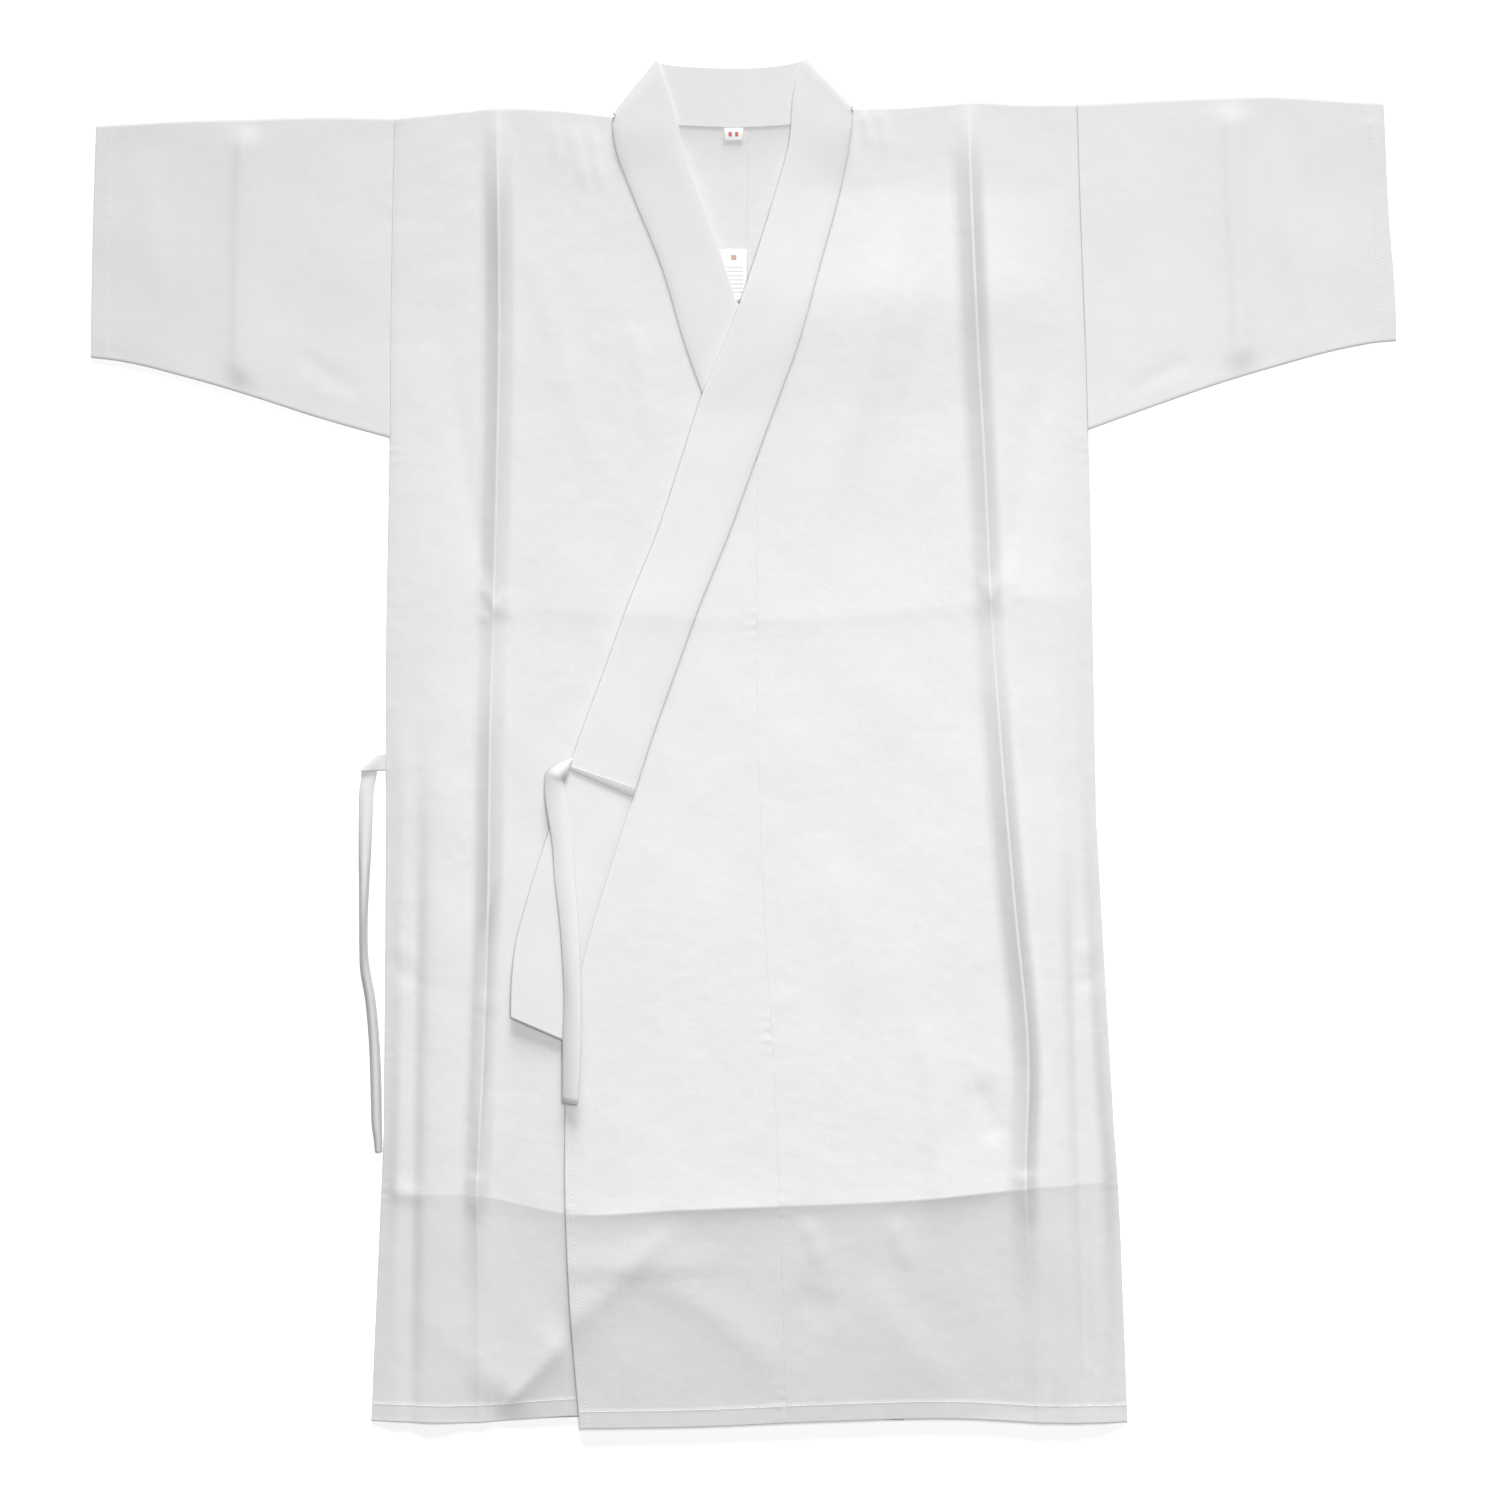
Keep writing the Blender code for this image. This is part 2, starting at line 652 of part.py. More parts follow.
def neck_fold(fold):
    cover = COLLAR / 2 + GAP + CLOTH
    return slanting_fold(fold, STRIP_COLUMNS, FOLDED_STRIP_HEIGHT, NECK_STRIP_HEIGHT, cover)


def collar_net():
    """The whole collar strip: up the left front, round the back of the neck and down the right front.

    At each shoulder the strip folds under itself along a slanting line, so that behind the neck its
    outer side faces the table.
    """
    return np.concatenate(
        [
            strip_side(LEFT, left_strip_height)[::-1],
            neck_fold(LEFT_NECK_FOLD),
            neck_strip(),
            neck_fold(RIGHT_NECK_FOLD)[::-1],
            strip_side(RIGHT, right_strip_height),
        ]
    )


def collars():
    """The collar strip, and the shorter strip that covers all but its ends, moved out from its points."""
    net = collar_net()
    cloth("collar", net, COTTON, COLLAR / 2, COLLAR / 2)
    over = net + normals(net, False) * (COLLAR / 2 + GAP + CLOTH / 2)
    seam_y = net[:, 0, 1]
    covered = np.flatnonzero(seam_y > OVER_COLLAR_END.seam_y)
    over = over[covered[0] - 1 : covered[-1] + 2]
    over[0] = end_row(over[0], over[1])
    over[-1] = end_row(over[-1], over[-2])
    cloth("over_collar", over, COTTON, CLOTH / 2, CLOTH / 2)


def end_row(row, after):
    """A row of the strip slid along it, so that it lies on the over-collar's stitched end."""
    end = OVER_COLLAR_END.seam_y + STRIP_COLUMNS * (OVER_COLLAR_END.free_y - OVER_COLLAR_END.seam_y)
    slide = ((end - row[:, 1]) / (after[:, 1] - row[:, 1]))[:, None]
    return row + slide * (after - row)


def sleeve(name, table, cuff, armhole, to_right):
    """A sleeve: a tube pressed flat, its back on the table and its front one layer up."""
    top = beside(smooth_line([(row.x, row.top) for row in table]), -TURN_INSET)
    bottom = beside(smooth_line([(row.x, row.bottom) for row in table]), TURN_INSET)
    cuff = smooth_line(cuff)
    sign = 1 if to_right else -1
    inside_cuff = beside(cuff, sign * CUFF_WIDTH)
    rows = [between(top, bottom, share) for share in SLEEVE_ROWS]
    columns = [cuff, beside(cuff, sign * (CUFF_WIDTH - CUFF_STEP))]
    columns += [between(inside_cuff, armhole, share) for share in SLEEVE_COLUMNS + (1.0,)]
    if not to_right:
        columns = columns[::-1]
    x, y = crossings(rows, columns)
    share = np.clip((x - cuff(y)) / (armhole(y) - cuff(y)), 0, 1)
    across = np.array(SLEEVE_ROWS)[:, None]
    ridge = SLEEVE_CREASE_HEIGHT * np.exp(-np.abs(share - SLEEVE_CREASE_SHARE) / SLEEVE_CREASE_REACH)
    fade = np.clip(np.minimum(across, 1 - across) / SLEEVE_EDGE_SHARE, 0, 1)
    front = with_height(x, y, FRONT_HEIGHT + ridge * fade)
    back = with_height(x, y, BACK_HEIGHT)[::-1]
    up = np.array((0.0, 1.0, 0.0))
    net = np.concatenate([front, turn(front[-1], back[0], -up), back, turn(back[-1], front[0], up)])
    outward = np.full(net.shape[:2], CLOTH / 2)
    hem = slice(0, 2) if to_right else slice(-2, None)
    outward[: len(front), hem] += HEM_FOLD
    outward[[0, len(front) - 1], :] = CLOTH / 2
    cloth(name, net, COTTON, outward, CLOTH / 2, tube=True)


def tie_net(sections, height):
    """A tie as a net, with rows between its sections along smooth lines."""
    table = np.array(sections, float)
    steps = np.arange(len(table))
    places = np.linspace(0, len(table) - 1, (len(table) - 1) * ROWS_BETWEEN_SECTIONS + 1)
    values = [smooth_line(list(zip(steps, values)))(places)[:, None] for values in table.T]
    first_x, first_y, last_x, last_y, lift, arch = values
    x = first_x + TIE_COLUMNS * (last_x - first_x)
    y = first_y + TIE_COLUMNS * (last_y - first_y)
    raised = lift * TIE_COLUMNS + arch * 4 * TIE_COLUMNS * (1 - TIE_COLUMNS)
    return with_height(x, y, height(x, y) + raised)


def front_tie():
    """The tie at the end of the over-collar, lying on the collar and the overlap."""

    def on_collar(x, y):
        lift = rest("left_seam", y) + left_relief(x, y) + COLLAR
        curl = TIE_CURL * np.clip((CURL_TOP - y) / CURL_LENGTH, 0, 1)
        return lift + curl + GAP + TIE / 2

    cloth("front_tie", tie_net(FRONT_TIE, on_collar), COTTON, TIE / 2, TIE / 2)


def side_tie():
    """The tie that comes out of the right side seam, folds under itself and lies along the side."""
    table_height = TIE / 2
    folded_height = table_height + TIE + GAP
    root = tie_net(SIDE_TIE_ROOT, level(folded_height))
    fold = slanting_fold(SIDE_TIE_FOLD, TIE_COLUMNS, folded_height, table_height, TIE / 2)
    fall = tie_net(SIDE_TIE, level(table_height))
    cloth("side_tie", np.concatenate([root, fold, fall]), COTTON, TIE / 2, TIE / 2)


def label(name, edges):
    left, right, bottom, top = edges
    x, y = np.meshgrid(np.linspace(left, right, 3), np.linspace(top, bottom, 3))
    cloth(name, with_height(x, y, FRONT_HEIGHT), LABEL, CLOTH / 2, CLOTH / 2)


# The two halves of the garment. The sign is the side of the wearer; the strip's lines are the edges
# of the collar strip, and the overlap's is the inner edge of the long overlap.
Half = namedtuple(
    "Half",
    "name sign side crease shoulder hem neckline seam overlap strip_seam strip_free height",
)
RIGHT = Half(
    name="right",
    sign=-1,
    side=right_side,
    crease=right_crease,
    shoulder=smooth_line(RIGHT_SHOULDER),
    hem=smooth_line(RIGHT_HEM),
    neckline=right_neckline,
    seam=mirrored(okumi_seam),
    overlap=mirrored(joined(beside(collar_seam, GAP), beside(okumi_free, GAP), COLLAR_END)),
    strip_seam=joined(right_neckline, mirrored(collar_seam), BREAST),
    strip_free=joined(right_neck_free, mirrored(collar_free), RIGHT_NECK_FREE[-1].y),
    height=right_height,
)
LEFT = Half(
    name="left",
    sign=1,
    side=left_side,
    crease=left_crease,
    shoulder=smooth_line(LEFT_SHOULDER),
    hem=smooth_line(LEFT_HEM),
    neckline=collar_seam,
    seam=okumi_seam,
    overlap=joined(beside(collar_seam, GAP), beside(okumi_free, GAP), COLLAR_END),
    strip_seam=collar_seam,
    strip_free=collar_free,
    height=left_height,
)


def main():
    for thing in list(bpy.data.objects):
        bpy.data.objects.remove(thing, do_unlink=True)
    for half in (RIGHT, LEFT):
        body_panel(half)
        overlap_panel(half)
    sleeve("right_sleeve", RIGHT_SLEEVE, RIGHT_CUFF, beside(right_side, -GAP), True)
    sleeve("left_sleeve", LEFT_SLEEVE, LEFT_CUFF, beside(left_side, GAP), False)
    collars()
    front_tie()
    side_tie()
    label("size_label", SIZE_LABEL)
    label("care_label", CARE_LABEL)


main()
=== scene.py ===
"""Looks of a kyudo jacket that lies flat on its back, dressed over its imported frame.

Each panel is a thin shell of cloth on the net that its solid stands on: smooth lines down the garment
cross smooth lines across it, and the relief of creases, folds and puckers lifts the crossings. Sizes
are in millimetres in the frame's axes (+X to the wearer's left, +Y to the neck, Z up from the floor)
and become metres when a mesh is made.
"""

import logging
from collections.abc import Callable, Sequence
from dataclasses import dataclass
from enum import Enum
from typing import NamedTuple

import bpy
import numpy as np
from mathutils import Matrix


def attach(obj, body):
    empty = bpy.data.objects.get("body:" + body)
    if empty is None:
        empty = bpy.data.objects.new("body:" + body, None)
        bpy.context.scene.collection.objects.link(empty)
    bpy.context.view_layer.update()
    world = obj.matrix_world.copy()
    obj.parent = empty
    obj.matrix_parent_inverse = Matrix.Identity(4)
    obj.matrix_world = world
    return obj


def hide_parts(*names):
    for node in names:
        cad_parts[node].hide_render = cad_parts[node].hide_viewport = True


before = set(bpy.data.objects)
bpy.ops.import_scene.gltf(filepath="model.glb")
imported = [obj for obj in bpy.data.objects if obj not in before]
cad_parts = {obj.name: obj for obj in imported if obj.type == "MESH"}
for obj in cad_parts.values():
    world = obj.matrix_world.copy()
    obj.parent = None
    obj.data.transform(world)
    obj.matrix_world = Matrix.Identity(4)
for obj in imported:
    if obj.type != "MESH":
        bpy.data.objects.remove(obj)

LOG = logging.getLogger("jacket")
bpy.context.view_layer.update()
MM = 0.001
# Painted shade: name of each piece's attribute that holds how much the cotton's colour is darkened, more
# where the cloth stands steep; the next value is the share painted on every rim.
PAINTED_SHADE_ATTRIBUTE = "Tilt"
RIM_PAINTED_SHADE = 0.4

Line = Callable[[np.ndarray], np.ndarray]
Values = dict[str | int, object]


@dataclass(frozen=True)
class Cloth:
    """Sizes of the cloth and of its places, in millimetres."""

    layer: float = 1.3
    middle: float = 0.5
    thickness: float = 0.7
    collar: float = 1.6
    over_collar: float = 0.9
    tie: float = 1.4
    gap: float = 0.3
    hem_band: float = 15.0
    hem_step: float = 0.12
    # Slope, as 1 - |normal z|, at which the shade painted into the colour is full.
    painted_shade_slope: float = 0.25
    cuff_band: float = 12.0


CLOTH = Cloth()
TURN_INSET = 1.2
CENTRE_BACK = 2.5
CENTRE_FRONT = -1.5
BREAST = 222.0
COLLAR_END = -229.0
END_SLANT = 18.5
BACK_HEM = -516.0
CURL_HEIGHT = 1.5
CURL_TOP = 20.0
CURL_LENGTH = 230.0
TIE_CURL = 0.8
STRIP_INSET = 1.0


class Down(NamedTuple):
    """Side edge and pressed crease of a body panel at one height."""

    y: float
    side: float
    crease: float


class Edge(NamedTuple):
    """A place on a line down the garment."""

    y: float
    x: float


class Station(NamedTuple):
    """Heights on the seam and on the free edge of the strip that lie across from each other."""

    seam_y: float
    free_y: float


class Fold(NamedTuple):
    """Ends of a slanting fold of a strip."""

    seam_end: tuple[float, float]
    free_end: tuple[float, float]


class Rest(NamedTuple):
    """Lowest heights of the crossing layers at one distance down the garment."""

    y: float
    left_cloth: float
    left_seam: float
    left_free: float
    right_seam: float
    right_free: float


class Tube(NamedTuple):
    """Upper and lower edge of a sleeve at one distance across."""

    x: float
    top: float
    bottom: float


class Section(NamedTuple):
    """Ends of a tie's width, how far the second stands above the first, and how far its middle bulges."""

    first_x: float
    first_y: float
    last_x: float
    last_y: float
    lift: float
    arch: float


RIGHT_BODY = (
    Down(486, -268.5, -189.7),
    Down(420, -270.0, -188.3),
    Down(306, -271.7, -187.7),
    Down(222, -272.2, -189.1),
    Down(105, -274.5, -192.1),
    Down(0, -275.2, -194.6),
    Down(-120, -274.8, -195.9),
    Down(-240, -275.8, -199.6),
    Down(-345, -278.0, -204.3),
    Down(-430, -282.3, -203.7),
    Down(-527, -286.4, -202.9),
)
LEFT_BODY = (
    Down(486, 257.0, 173.1),
    Down(420, 259.0, 175.1),
    Down(306, 263.3, 180.0),
    Down(222, 265.7, 184.8),
    Down(105, 268.3, 190.2),
    Down(0, 269.2, 197.4),
    Down(-120, 274.3, 207.4),
    Down(-240, 280.7, 218.1),
    Down(-345, 288.4, 216.3),
    Down(-430, 292.0, 222.3),
    Down(-527, 295.6, 228.5),
)
COLLAR_SEAM = (
    Edge(490, 84.5),
    Edge(460, 80.9),
    Edge(420, 72.6),
    Edge(370, 59.0),
    Edge(306, 41.3),
    Edge(263, 25.6),
    Edge(222, 10.5),
    Edge(160, -12.1),
    Edge(105, -34.4),
    Edge(50, -54.3),
    Edge(0, -72.0),
    Edge(-60, -90.7),
    Edge(-120, -109.5),
    Edge(-180, -126.2),
    Edge(-229, -135.9),
)
COLLAR_FREE = (
    Edge(527, 48.1),
    Edge(510, 41.2),
    Edge(460, 35.1),
    Edge(420, 24.1),
    Edge(370, 8.6),
    Edge(320, -8.9),
    Edge(263, -33.0),
    Edge(222, -46.0),
    Edge(160, -66.4),
    Edge(105, -88.5),
    Edge(50, -108.4),
    Edge(0, -126.9),
    Edge(-60, -146.5),
    Edge(-120, -165.5),
    Edge(-155, -174.6),
    Edge(-186, -177.8),
    Edge(-212, -178.3),
)
OKUMI_SEAM = (Edge(222, 10.4), Edge(0, 11.0), Edge(-120, 15.0), Edge(-240, 22.3), Edge(-527, 33.0))
OKUMI_FREE = (Edge(-229, -135.9), Edge(-345, -137.0), Edge(-430, -133.6), Edge(-527, -126.0))
RIGHT_NECKLINE = (
    Edge(486, -101.3),
    Edge(460, -98.4),
    Edge(420, -84.1),
    Edge(370, -63.7),
    Edge(306, -44.4),
    Edge(263, -28.9),
    Edge(222, -13.5),
)
RIGHT_NECK_FREE = (
    Edge(527, -68.5),
    Edge(510, -61.4),
    Edge(480, -52.0),
    Edge(450, -44.3),
    Edge(419, -33.0),
    Edge(377, -18.1),
    Edge(336, -4.5),
)
COLLAR_STATIONS = (
    Station(482, 518),
    Station(470, 503),
    Station(456, 488),
    Station(423, 441),
    Station(366, 379),
    Station(306, 319),
    Station(222, 238),
    Station(105, 122),
    Station(0, 18),
    Station(-98, -84),
    Station(-180, -169),
    Station(COLLAR_END, COLLAR_END + END_SLANT),
)
OVER_COLLAR_END = Station(-41.5, -20.0)
LEFT_NECK_FOLD = Fold((84.5, 489.5), (48.1, 526.9))
RIGHT_NECK_FOLD = Fold((-100.6, 484.2), (-67.4, 524.8))
RIGHT_SHOULDER = ((-269, 481.2), (-230, 485.1), (-190, 489.0), (-150, 488.0), (-101, 483.0))
LEFT_SHOULDER = ((84, 488.9), (117, 489.5), (155, 492.0), (173, 493.6), (213, 492.0), (257, 492.0))
WAIST_CREASE = (
    (-275, 110.0),
    (-192, 105.5),
    (-95, 101.0),
    (20, 95.5),
    (136, 104.0),
    (190, 111.7),
    (228, 113.0),
    (268, 110.0),
)
LOW_CREASE = (
    (-278, -348.0),
    (-204, -348.0),
    (-136, -361.0),
    (-49, -358.0),
    (28, -355.0),
    (136, -350.0),
    (216, -342.0),
    (290, -336.5),
)
RIGHT_HEM = ((-286, -521.5), (-203, -522.5), (-164, -519.5), (-130, -517.5), (130, -521.0))
LEFT_HEM = ((-126, -527.0), (-33, -525.5), (60, -521.5), (174, -519.5), (232, -522.5), (296, -522.5))
BACK_NECK = ((-101.3, 482.8), (-80, 478.2), (-36, 474.3), (2, 473.6), (43, 476.6), (65, 481.0), (84.5, 489.0))
COLLAR_TOP = ((-67.4, 524.6), (-52, 522.1), (-33, 520.9), (-3, 520.1), (20, 521.3), (36, 523.6), (48, 526.9))
BACK_LEVELS = (-300, -60, 150, 236, 270, 330, 415)
NECK_STATIONS = ((68, 40), (43, 28), (2, 0), (-36, -30), (-80, -56))
NECK_FAN = ((28.0, 0.0), (16.0, 0.45), (6.0, 0.8))
RESTS = (
    Rest(527, 1.3, 3.2, 3.2, 3.2, 3.2),
    Rest(472, 1.3, 3.2, 3.2, 3.2, 3.2),
    Rest(440, 1.3, 1.4, 3.2, 1.3, 3.2),
    Rest(425, 1.3, 1.4, 3.2, 1.3, 3.2),
    Rest(345, 6.6, 6.6, 6.6, 1.3, 3.2),
    Rest(325, 6.6, 6.6, 6.6, 1.3, 3.2),
    Rest(255, 4.6, 4.6, 4.6, 1.3, 1.3),
    Rest(-527, 4.6, 4.6, 4.6, 1.3, 1.3),
)
CREASE_HEIGHT = (
    (-527, 1.0),
    (-400, 2.0),
    (-340, 4.0),
    (0, 5.0),
    (95, 3.5),
    (120, 4.0),
    (300, 5.0),
    (440, 4.5),
    (492, 0.8),
)
TENT_HEIGHT = (
    (-280, 2.5),
    (-200, 5.0),
    (-140, 8.0),
    (0, 9.8),
    (150, 9.8),
    (216, 8.0),
    (250, 5.5),
    (280, 4.5),
)
LIP_HEIGHT = (
    (-280, 0.3),
    (-140, 0.8),
    (-70, 1.8),
    (10, 2.0),
    (60, 1.2),
    (120, 1.6),
    (180, 2.0),
    (215, 0.9),
    (250, 0.4),
    (290, 0.4),
)
WAIST_HEIGHT = ((-275, 0.1), (-200, 0.15), (-150, 0.6), (0, 0.7), (190, 0.7), (275, 0.5))
RIGHT_SLEEVE = (
    Tube(-501, 475.2, 296.0),
    Tube(-487, 476.0, 294.5),
    Tube(-423, 479.6, 279.6),
    Tube(-384, 480.4, 268.2),
    Tube(-326, 482.4, 249.6),
    Tube(-269, 481.2, 233.5),
)
LEFT_SLEEVE = (
    Tube(258, 492.3, 238.0),
    Tube(309, 494.8, 256.4),
    Tube(373, 497.4, 278.5),
    Tube(406, 498.0, 288.3),
    Tube(463, 494.5, 303.4),
    Tube(486, 493.2, 307.6),
    Tube(502, 492.4, 309.0),
)
RIGHT_CUFF = (Edge(476, -497.8), Edge(364, -500.9), Edge(290, -502.0))
LEFT_CUFF = (Edge(493, 492.4), Edge(420, 495.5), Edge(318, 502.0), Edge(305, 502.0))
FRONT_TIE = (
    Section(-131.4, -12.0, -136.0, -25.8, 0.0, 0.3),
    Section(-141.0, -15.5, -137.8, -27.6, 0.0, 2.5),
    Section(-148.8, -20.5, -138.4, -29.0, 0.0, 3.0),
    Section(-152.0, -28.0, -137.8, -32.5, 0.0, 2.0),
    Section(-151.6, -45.0, -135.4, -46.5, 0.5, 1.0),
    Section(-146.9, -75.0, -131.5, -76.0, 1.0, 1.0),
    Section(-144.5, -105.5, -129.5, -106.5, 1.5, 0.8),
    Section(-140.8, -137.0, -127.0, -138.5, 2.0, 0.8),
    Section(-138.6, -167.0, -125.6, -168.5, 3.0, 0.8),
    Section(-137.2, -198.0, -125.0, -199.0, 4.0, 0.8),
    Section(-138.2, -229.0, -125.0, -230.0, 4.5, 0.8),
    Section(-138.3, -275.5, -127.0, -276.5, 5.0, 0.5),
)
SIDE_TIE_ROOT = (
    Section(-275.6, -7.7, -275.6, -20.8, 0.0, 0.0),
    Section(-279.0, -8.6, -288.0, -21.4, 0.0, 0.3),
)
SIDE_TIE_FOLD = Fold((-281.4, -7.7), (-294.6, -20.8))
SIDE_TIE = (
    Section(-283.2, -27.0, -293.8, -27.0, 0.0, 0.5),
    Section(-284.9, -36.2, -295.3, -36.2, 0.0, 1.0),
    Section(-285.7, -55.4, -295.7, -55.4, 0.0, 1.5),
    Section(-287.0, -85.0, -295.7, -85.0, 0.0, 2.5),
    Section(-288.6, -110.0, -295.3, -110.0, 0.0, 4.0),
    Section(-289.8, -136.0, -295.2, -136.0, 0.0, 5.5),
    Section(-289.6, -159.0, -295.0, -160.0, 0.0, 5.5),
    Section(-287.8, -175.0, -294.2, -176.5, 0.0, 5.0),
    Section(-283.8, -197.0, -290.4, -199.0, 0.0, 4.5),
    Section(-280.8, -228.0, -287.8, -229.0, 0.0, 4.0),
    Section(-279.3, -259.0, -286.6, -259.5, 0.0, 4.0),
    Section(-278.9, -290.0, -285.8, -290.5, 0.0, 3.5),
    Section(-278.6, -304.0, -284.0, -305.0, 0.0, 3.0),
    Section(-278.6, -314.5, -283.0, -315.0, 0.0, 2.5),
)
SIZE_LABEL = (-15.0, -0.4, 463.6, 472.9)
CARE_LABEL = (-17.5, 2.5, 340.0, 379.5)
# Stretch of the front between each crossing line and the next: how many rows, and how they crowd.
CHEST_ROWS = 56
WAIST_ROWS = 30
BELLY_ROWS = 76
THIGH_ROWS = 34
HEM_ROWS = 40
BAND_ROWS = 8
CROWDING = 0.72
CREASE_OFFSETS = (16.0, 12.0, 9.0, 6.8, 5.0, 3.5, 2.2, 1.1, 0.0)
EDGE_OFFSET = 0.6
SIDE_STEPS = 18
CHEST_STEPS = 42
OVERLAP_STEPS = 32
STRIP_SHARES = np.array(
    (0.0, 0.012, 0.03, 0.055, 0.09, 0.14, 0.25, 0.37, 0.5, 0.63, 0.75, 0.86, 0.93, 0.965, 0.988, 1.0)
)
SLEEVE_LINES = 44
CUFF_LINES = 6
SLEEVE_COLUMNS = 54

# Height and reach of the creases and of the tent that part.py's solids also carry.
WAIST_RISE = 45.0
WAIST_FALL = 15.0
TENT_RISE = 520.0
TENT_FALL = 172.0
WAIST_ROUND = 3.0
ROLL_DEPTH = 1.2
ROLL_REACH = 5.0
LIP_RISE = 40.0
LIP_FALL = 9.0
CREASE_GROWTH = 1.15
BACK_RISE = 1.5
BACK_REACH = 18.0
NECK_FADE = 14.0
# Where the right front's relief dies away: past the left collar and the left overlap, and between them.
PAST_COLLAR = 2.0
COLLAR_FADE = 30.0
PAST_OVERLAP = 8.0
OVERLAP_FADE = 22.0
CHANGE_BELOW = 90.0
CHANGE_LENGTH = 60.0
SIDE_SWELL = 2.5
SWELL_TOP = 300.0
SWELL_LENGTH = 200.0
EDGE_FADE = 14.0
SLEEVE_CREASE_HEIGHT = 3.2
SLEEVE_CREASE_REACH = 7.0


class Profile(Enum):
    """How a soft fold falls away from its line."""

    ROUND = "round"
    SHARP = "sharp"


class Soft(NamedTuple):
    """A soft fold or trough through three places: its height, and its reach to its left and right."""

    start: tuple[float, float]
    middle: tuple[float, float]
    end: tuple[float, float]
    height: float
    left: float
    right: float
    profile: Profile


ROUND, SHARP = Profile.ROUND, Profile.SHARP

RIGHT_FOLDS = (
    Soft((-250.0, 40.0), (-254.0, -280.0), (-259.0, -640.0), -2.6, 7, 6, ROUND),
    Soft((-222.0, 70.0), (-226.0, -240.0), (-234.0, -600.0), 0.6, 14, 14, ROUND),
    Soft((-192.0, -519.0), (-160.0, -485.0), (-124.0, -444.0), 3.4, 26, 13, SHARP),
    Soft((-133.0, 480.0), (-127.0, 452.0), (-121.0, 426.0), 0.7, 5, 7, ROUND),
    Soft((-117.0, 482.0), (-113.0, 452.0), (-106.0, 420.0), 0.6, 4, 6, ROUND),
    Soft((-146.0, 484.0), (-144.0, 462.0), (-141.0, 440.0), 0.4, 5, 5, ROUND),
    Soft((-204.0, -330.0), (-206.0, -343.0), (-207.0, -368.0), 0.8, 8, 8, ROUND),
    Soft((-276.0, -338.0), (-262.0, -345.0), (-240.0, -349.0), 0.6, 7, 7, ROUND),
    Soft((-276.0, -158.0), (-264.0, -159.0), (-250.0, -162.0), 0.6, 5, 5, ROUND),
    Soft((-274.0, -172.0), (-262.0, -178.0), (-246.0, -186.0), -0.5, 5, 5, ROUND),
    Soft((-175.0, 400.0), (-140.0, 300.0), (-110.0, 180.0), 0.6, 12, 12, ROUND),
    Soft((-90.0, 330.0), (-78.0, 280.0), (-72.0, 215.0), 0.5, 9, 9, ROUND),
    Soft((-195.0, -190.0), (-196.0, -199.0), (-197.0, -210.0), 0.4, 9, 9, ROUND),
    Soft((-222.0, 300.0), (-214.0, 200.0), (-198.0, 110.0), -1.0, 9, 7, ROUND),
    Soft((-206.0, 128.0), (-192.0, 108.0), (-178.0, 92.0), 0.6, 7, 5, ROUND),
    Soft((-204.0, 92.0), (-192.0, 102.0), (-176.0, 122.0), 0.5, 5, 6, ROUND),
)
LEFT_FOLDS = (
    Soft((124.0, 424.0), (99.0, 300.0), (66.0, 170.0), 1.1, 11, 14, ROUND),
    Soft((150.0, 380.0), (132.0, 280.0), (110.0, 180.0), -0.8, 10, 10, ROUND),
    Soft((92.0, 488.0), (95.0, 474.0), (99.0, 455.0), 0.7, 4, 5, ROUND),
    Soft((106.0, 488.0), (108.0, 472.0), (113.0, 446.0), 0.5, 5, 6, ROUND),
    Soft((236.0, 300.0), (238.0, 0.0), (250.0, -335.0), 0.8, 11, 11, ROUND),
    Soft((250.0, -60.0), (258.0, -300.0), (268.0, -640.0), -2.3, 6, 7, ROUND),
    Soft((-210.0, -405.0), (-90.0, -404.0), (10.0, -400.0), 0.8, 16, 6, ROUND),
    Soft((46.0, -362.0), (54.0, -384.0), (57.0, -404.0), 0.9, 7, 7, ROUND),
    Soft((112.0, -360.0), (121.0, -386.0), (128.0, -404.0), 0.8, 7, 7, ROUND),
    Soft((215.0, -326.0), (217.0, -343.0), (222.0, -372.0), 0.9, 9, 9, ROUND),
    Soft((276.0, -158.0), (268.0, -159.0), (250.0, -163.0), 0.6, 5, 5, ROUND),
    Soft((278.0, -176.0), (266.0, -182.0), (248.0, -188.0), -0.5, 5, 5, ROUND),
    Soft((-150.0, -468.0), (-100.0, -418.0), (-44.0, -362.0), 2.2, 22, 11, SHARP),
    Soft((136.0, -206.0), (146.0, -300.0), (152.0, -404.0), 0.9, 14, 6, ROUND),
    Soft((180.0, -254.0), (188.0, -284.0), (198.0, -310.0), -1.2, 10, 10, ROUND),
    Soft((40.0, -420.0), (55.0, -430.0), (74.0, -444.0), -0.8, 12, 12, ROUND),
    Soft((28.0, -190.0), (32.0, -198.0), (37.0, -208.0), 0.3, 8, 8, ROUND),
    Soft((172.0, 96.0), (188.0, 112.0), (204.0, 134.0), 0.6, 6, 7, ROUND),
    Soft((176.0, 132.0), (190.0, 114.0), (202.0, 94.0), 0.5, 6, 6, ROUND),
    Soft((228.0, 300.0), (216.0, 200.0), (200.0, 116.0), -1.0, 7, 9, ROUND),
    Soft((60.0, -60.0), (80.0, -140.0), (88.0, -215.0), 0.5, 14, 14, ROUND),
    Soft((-90.0, -410.0), (-20.0, -440.0), (30.0, -500.0), 0.7, 16, 10, ROUND),
    Soft((90.0, -400.0), (120.0, -450.0), (170.0, -500.0), 0.6, 16, 12, ROUND),
)
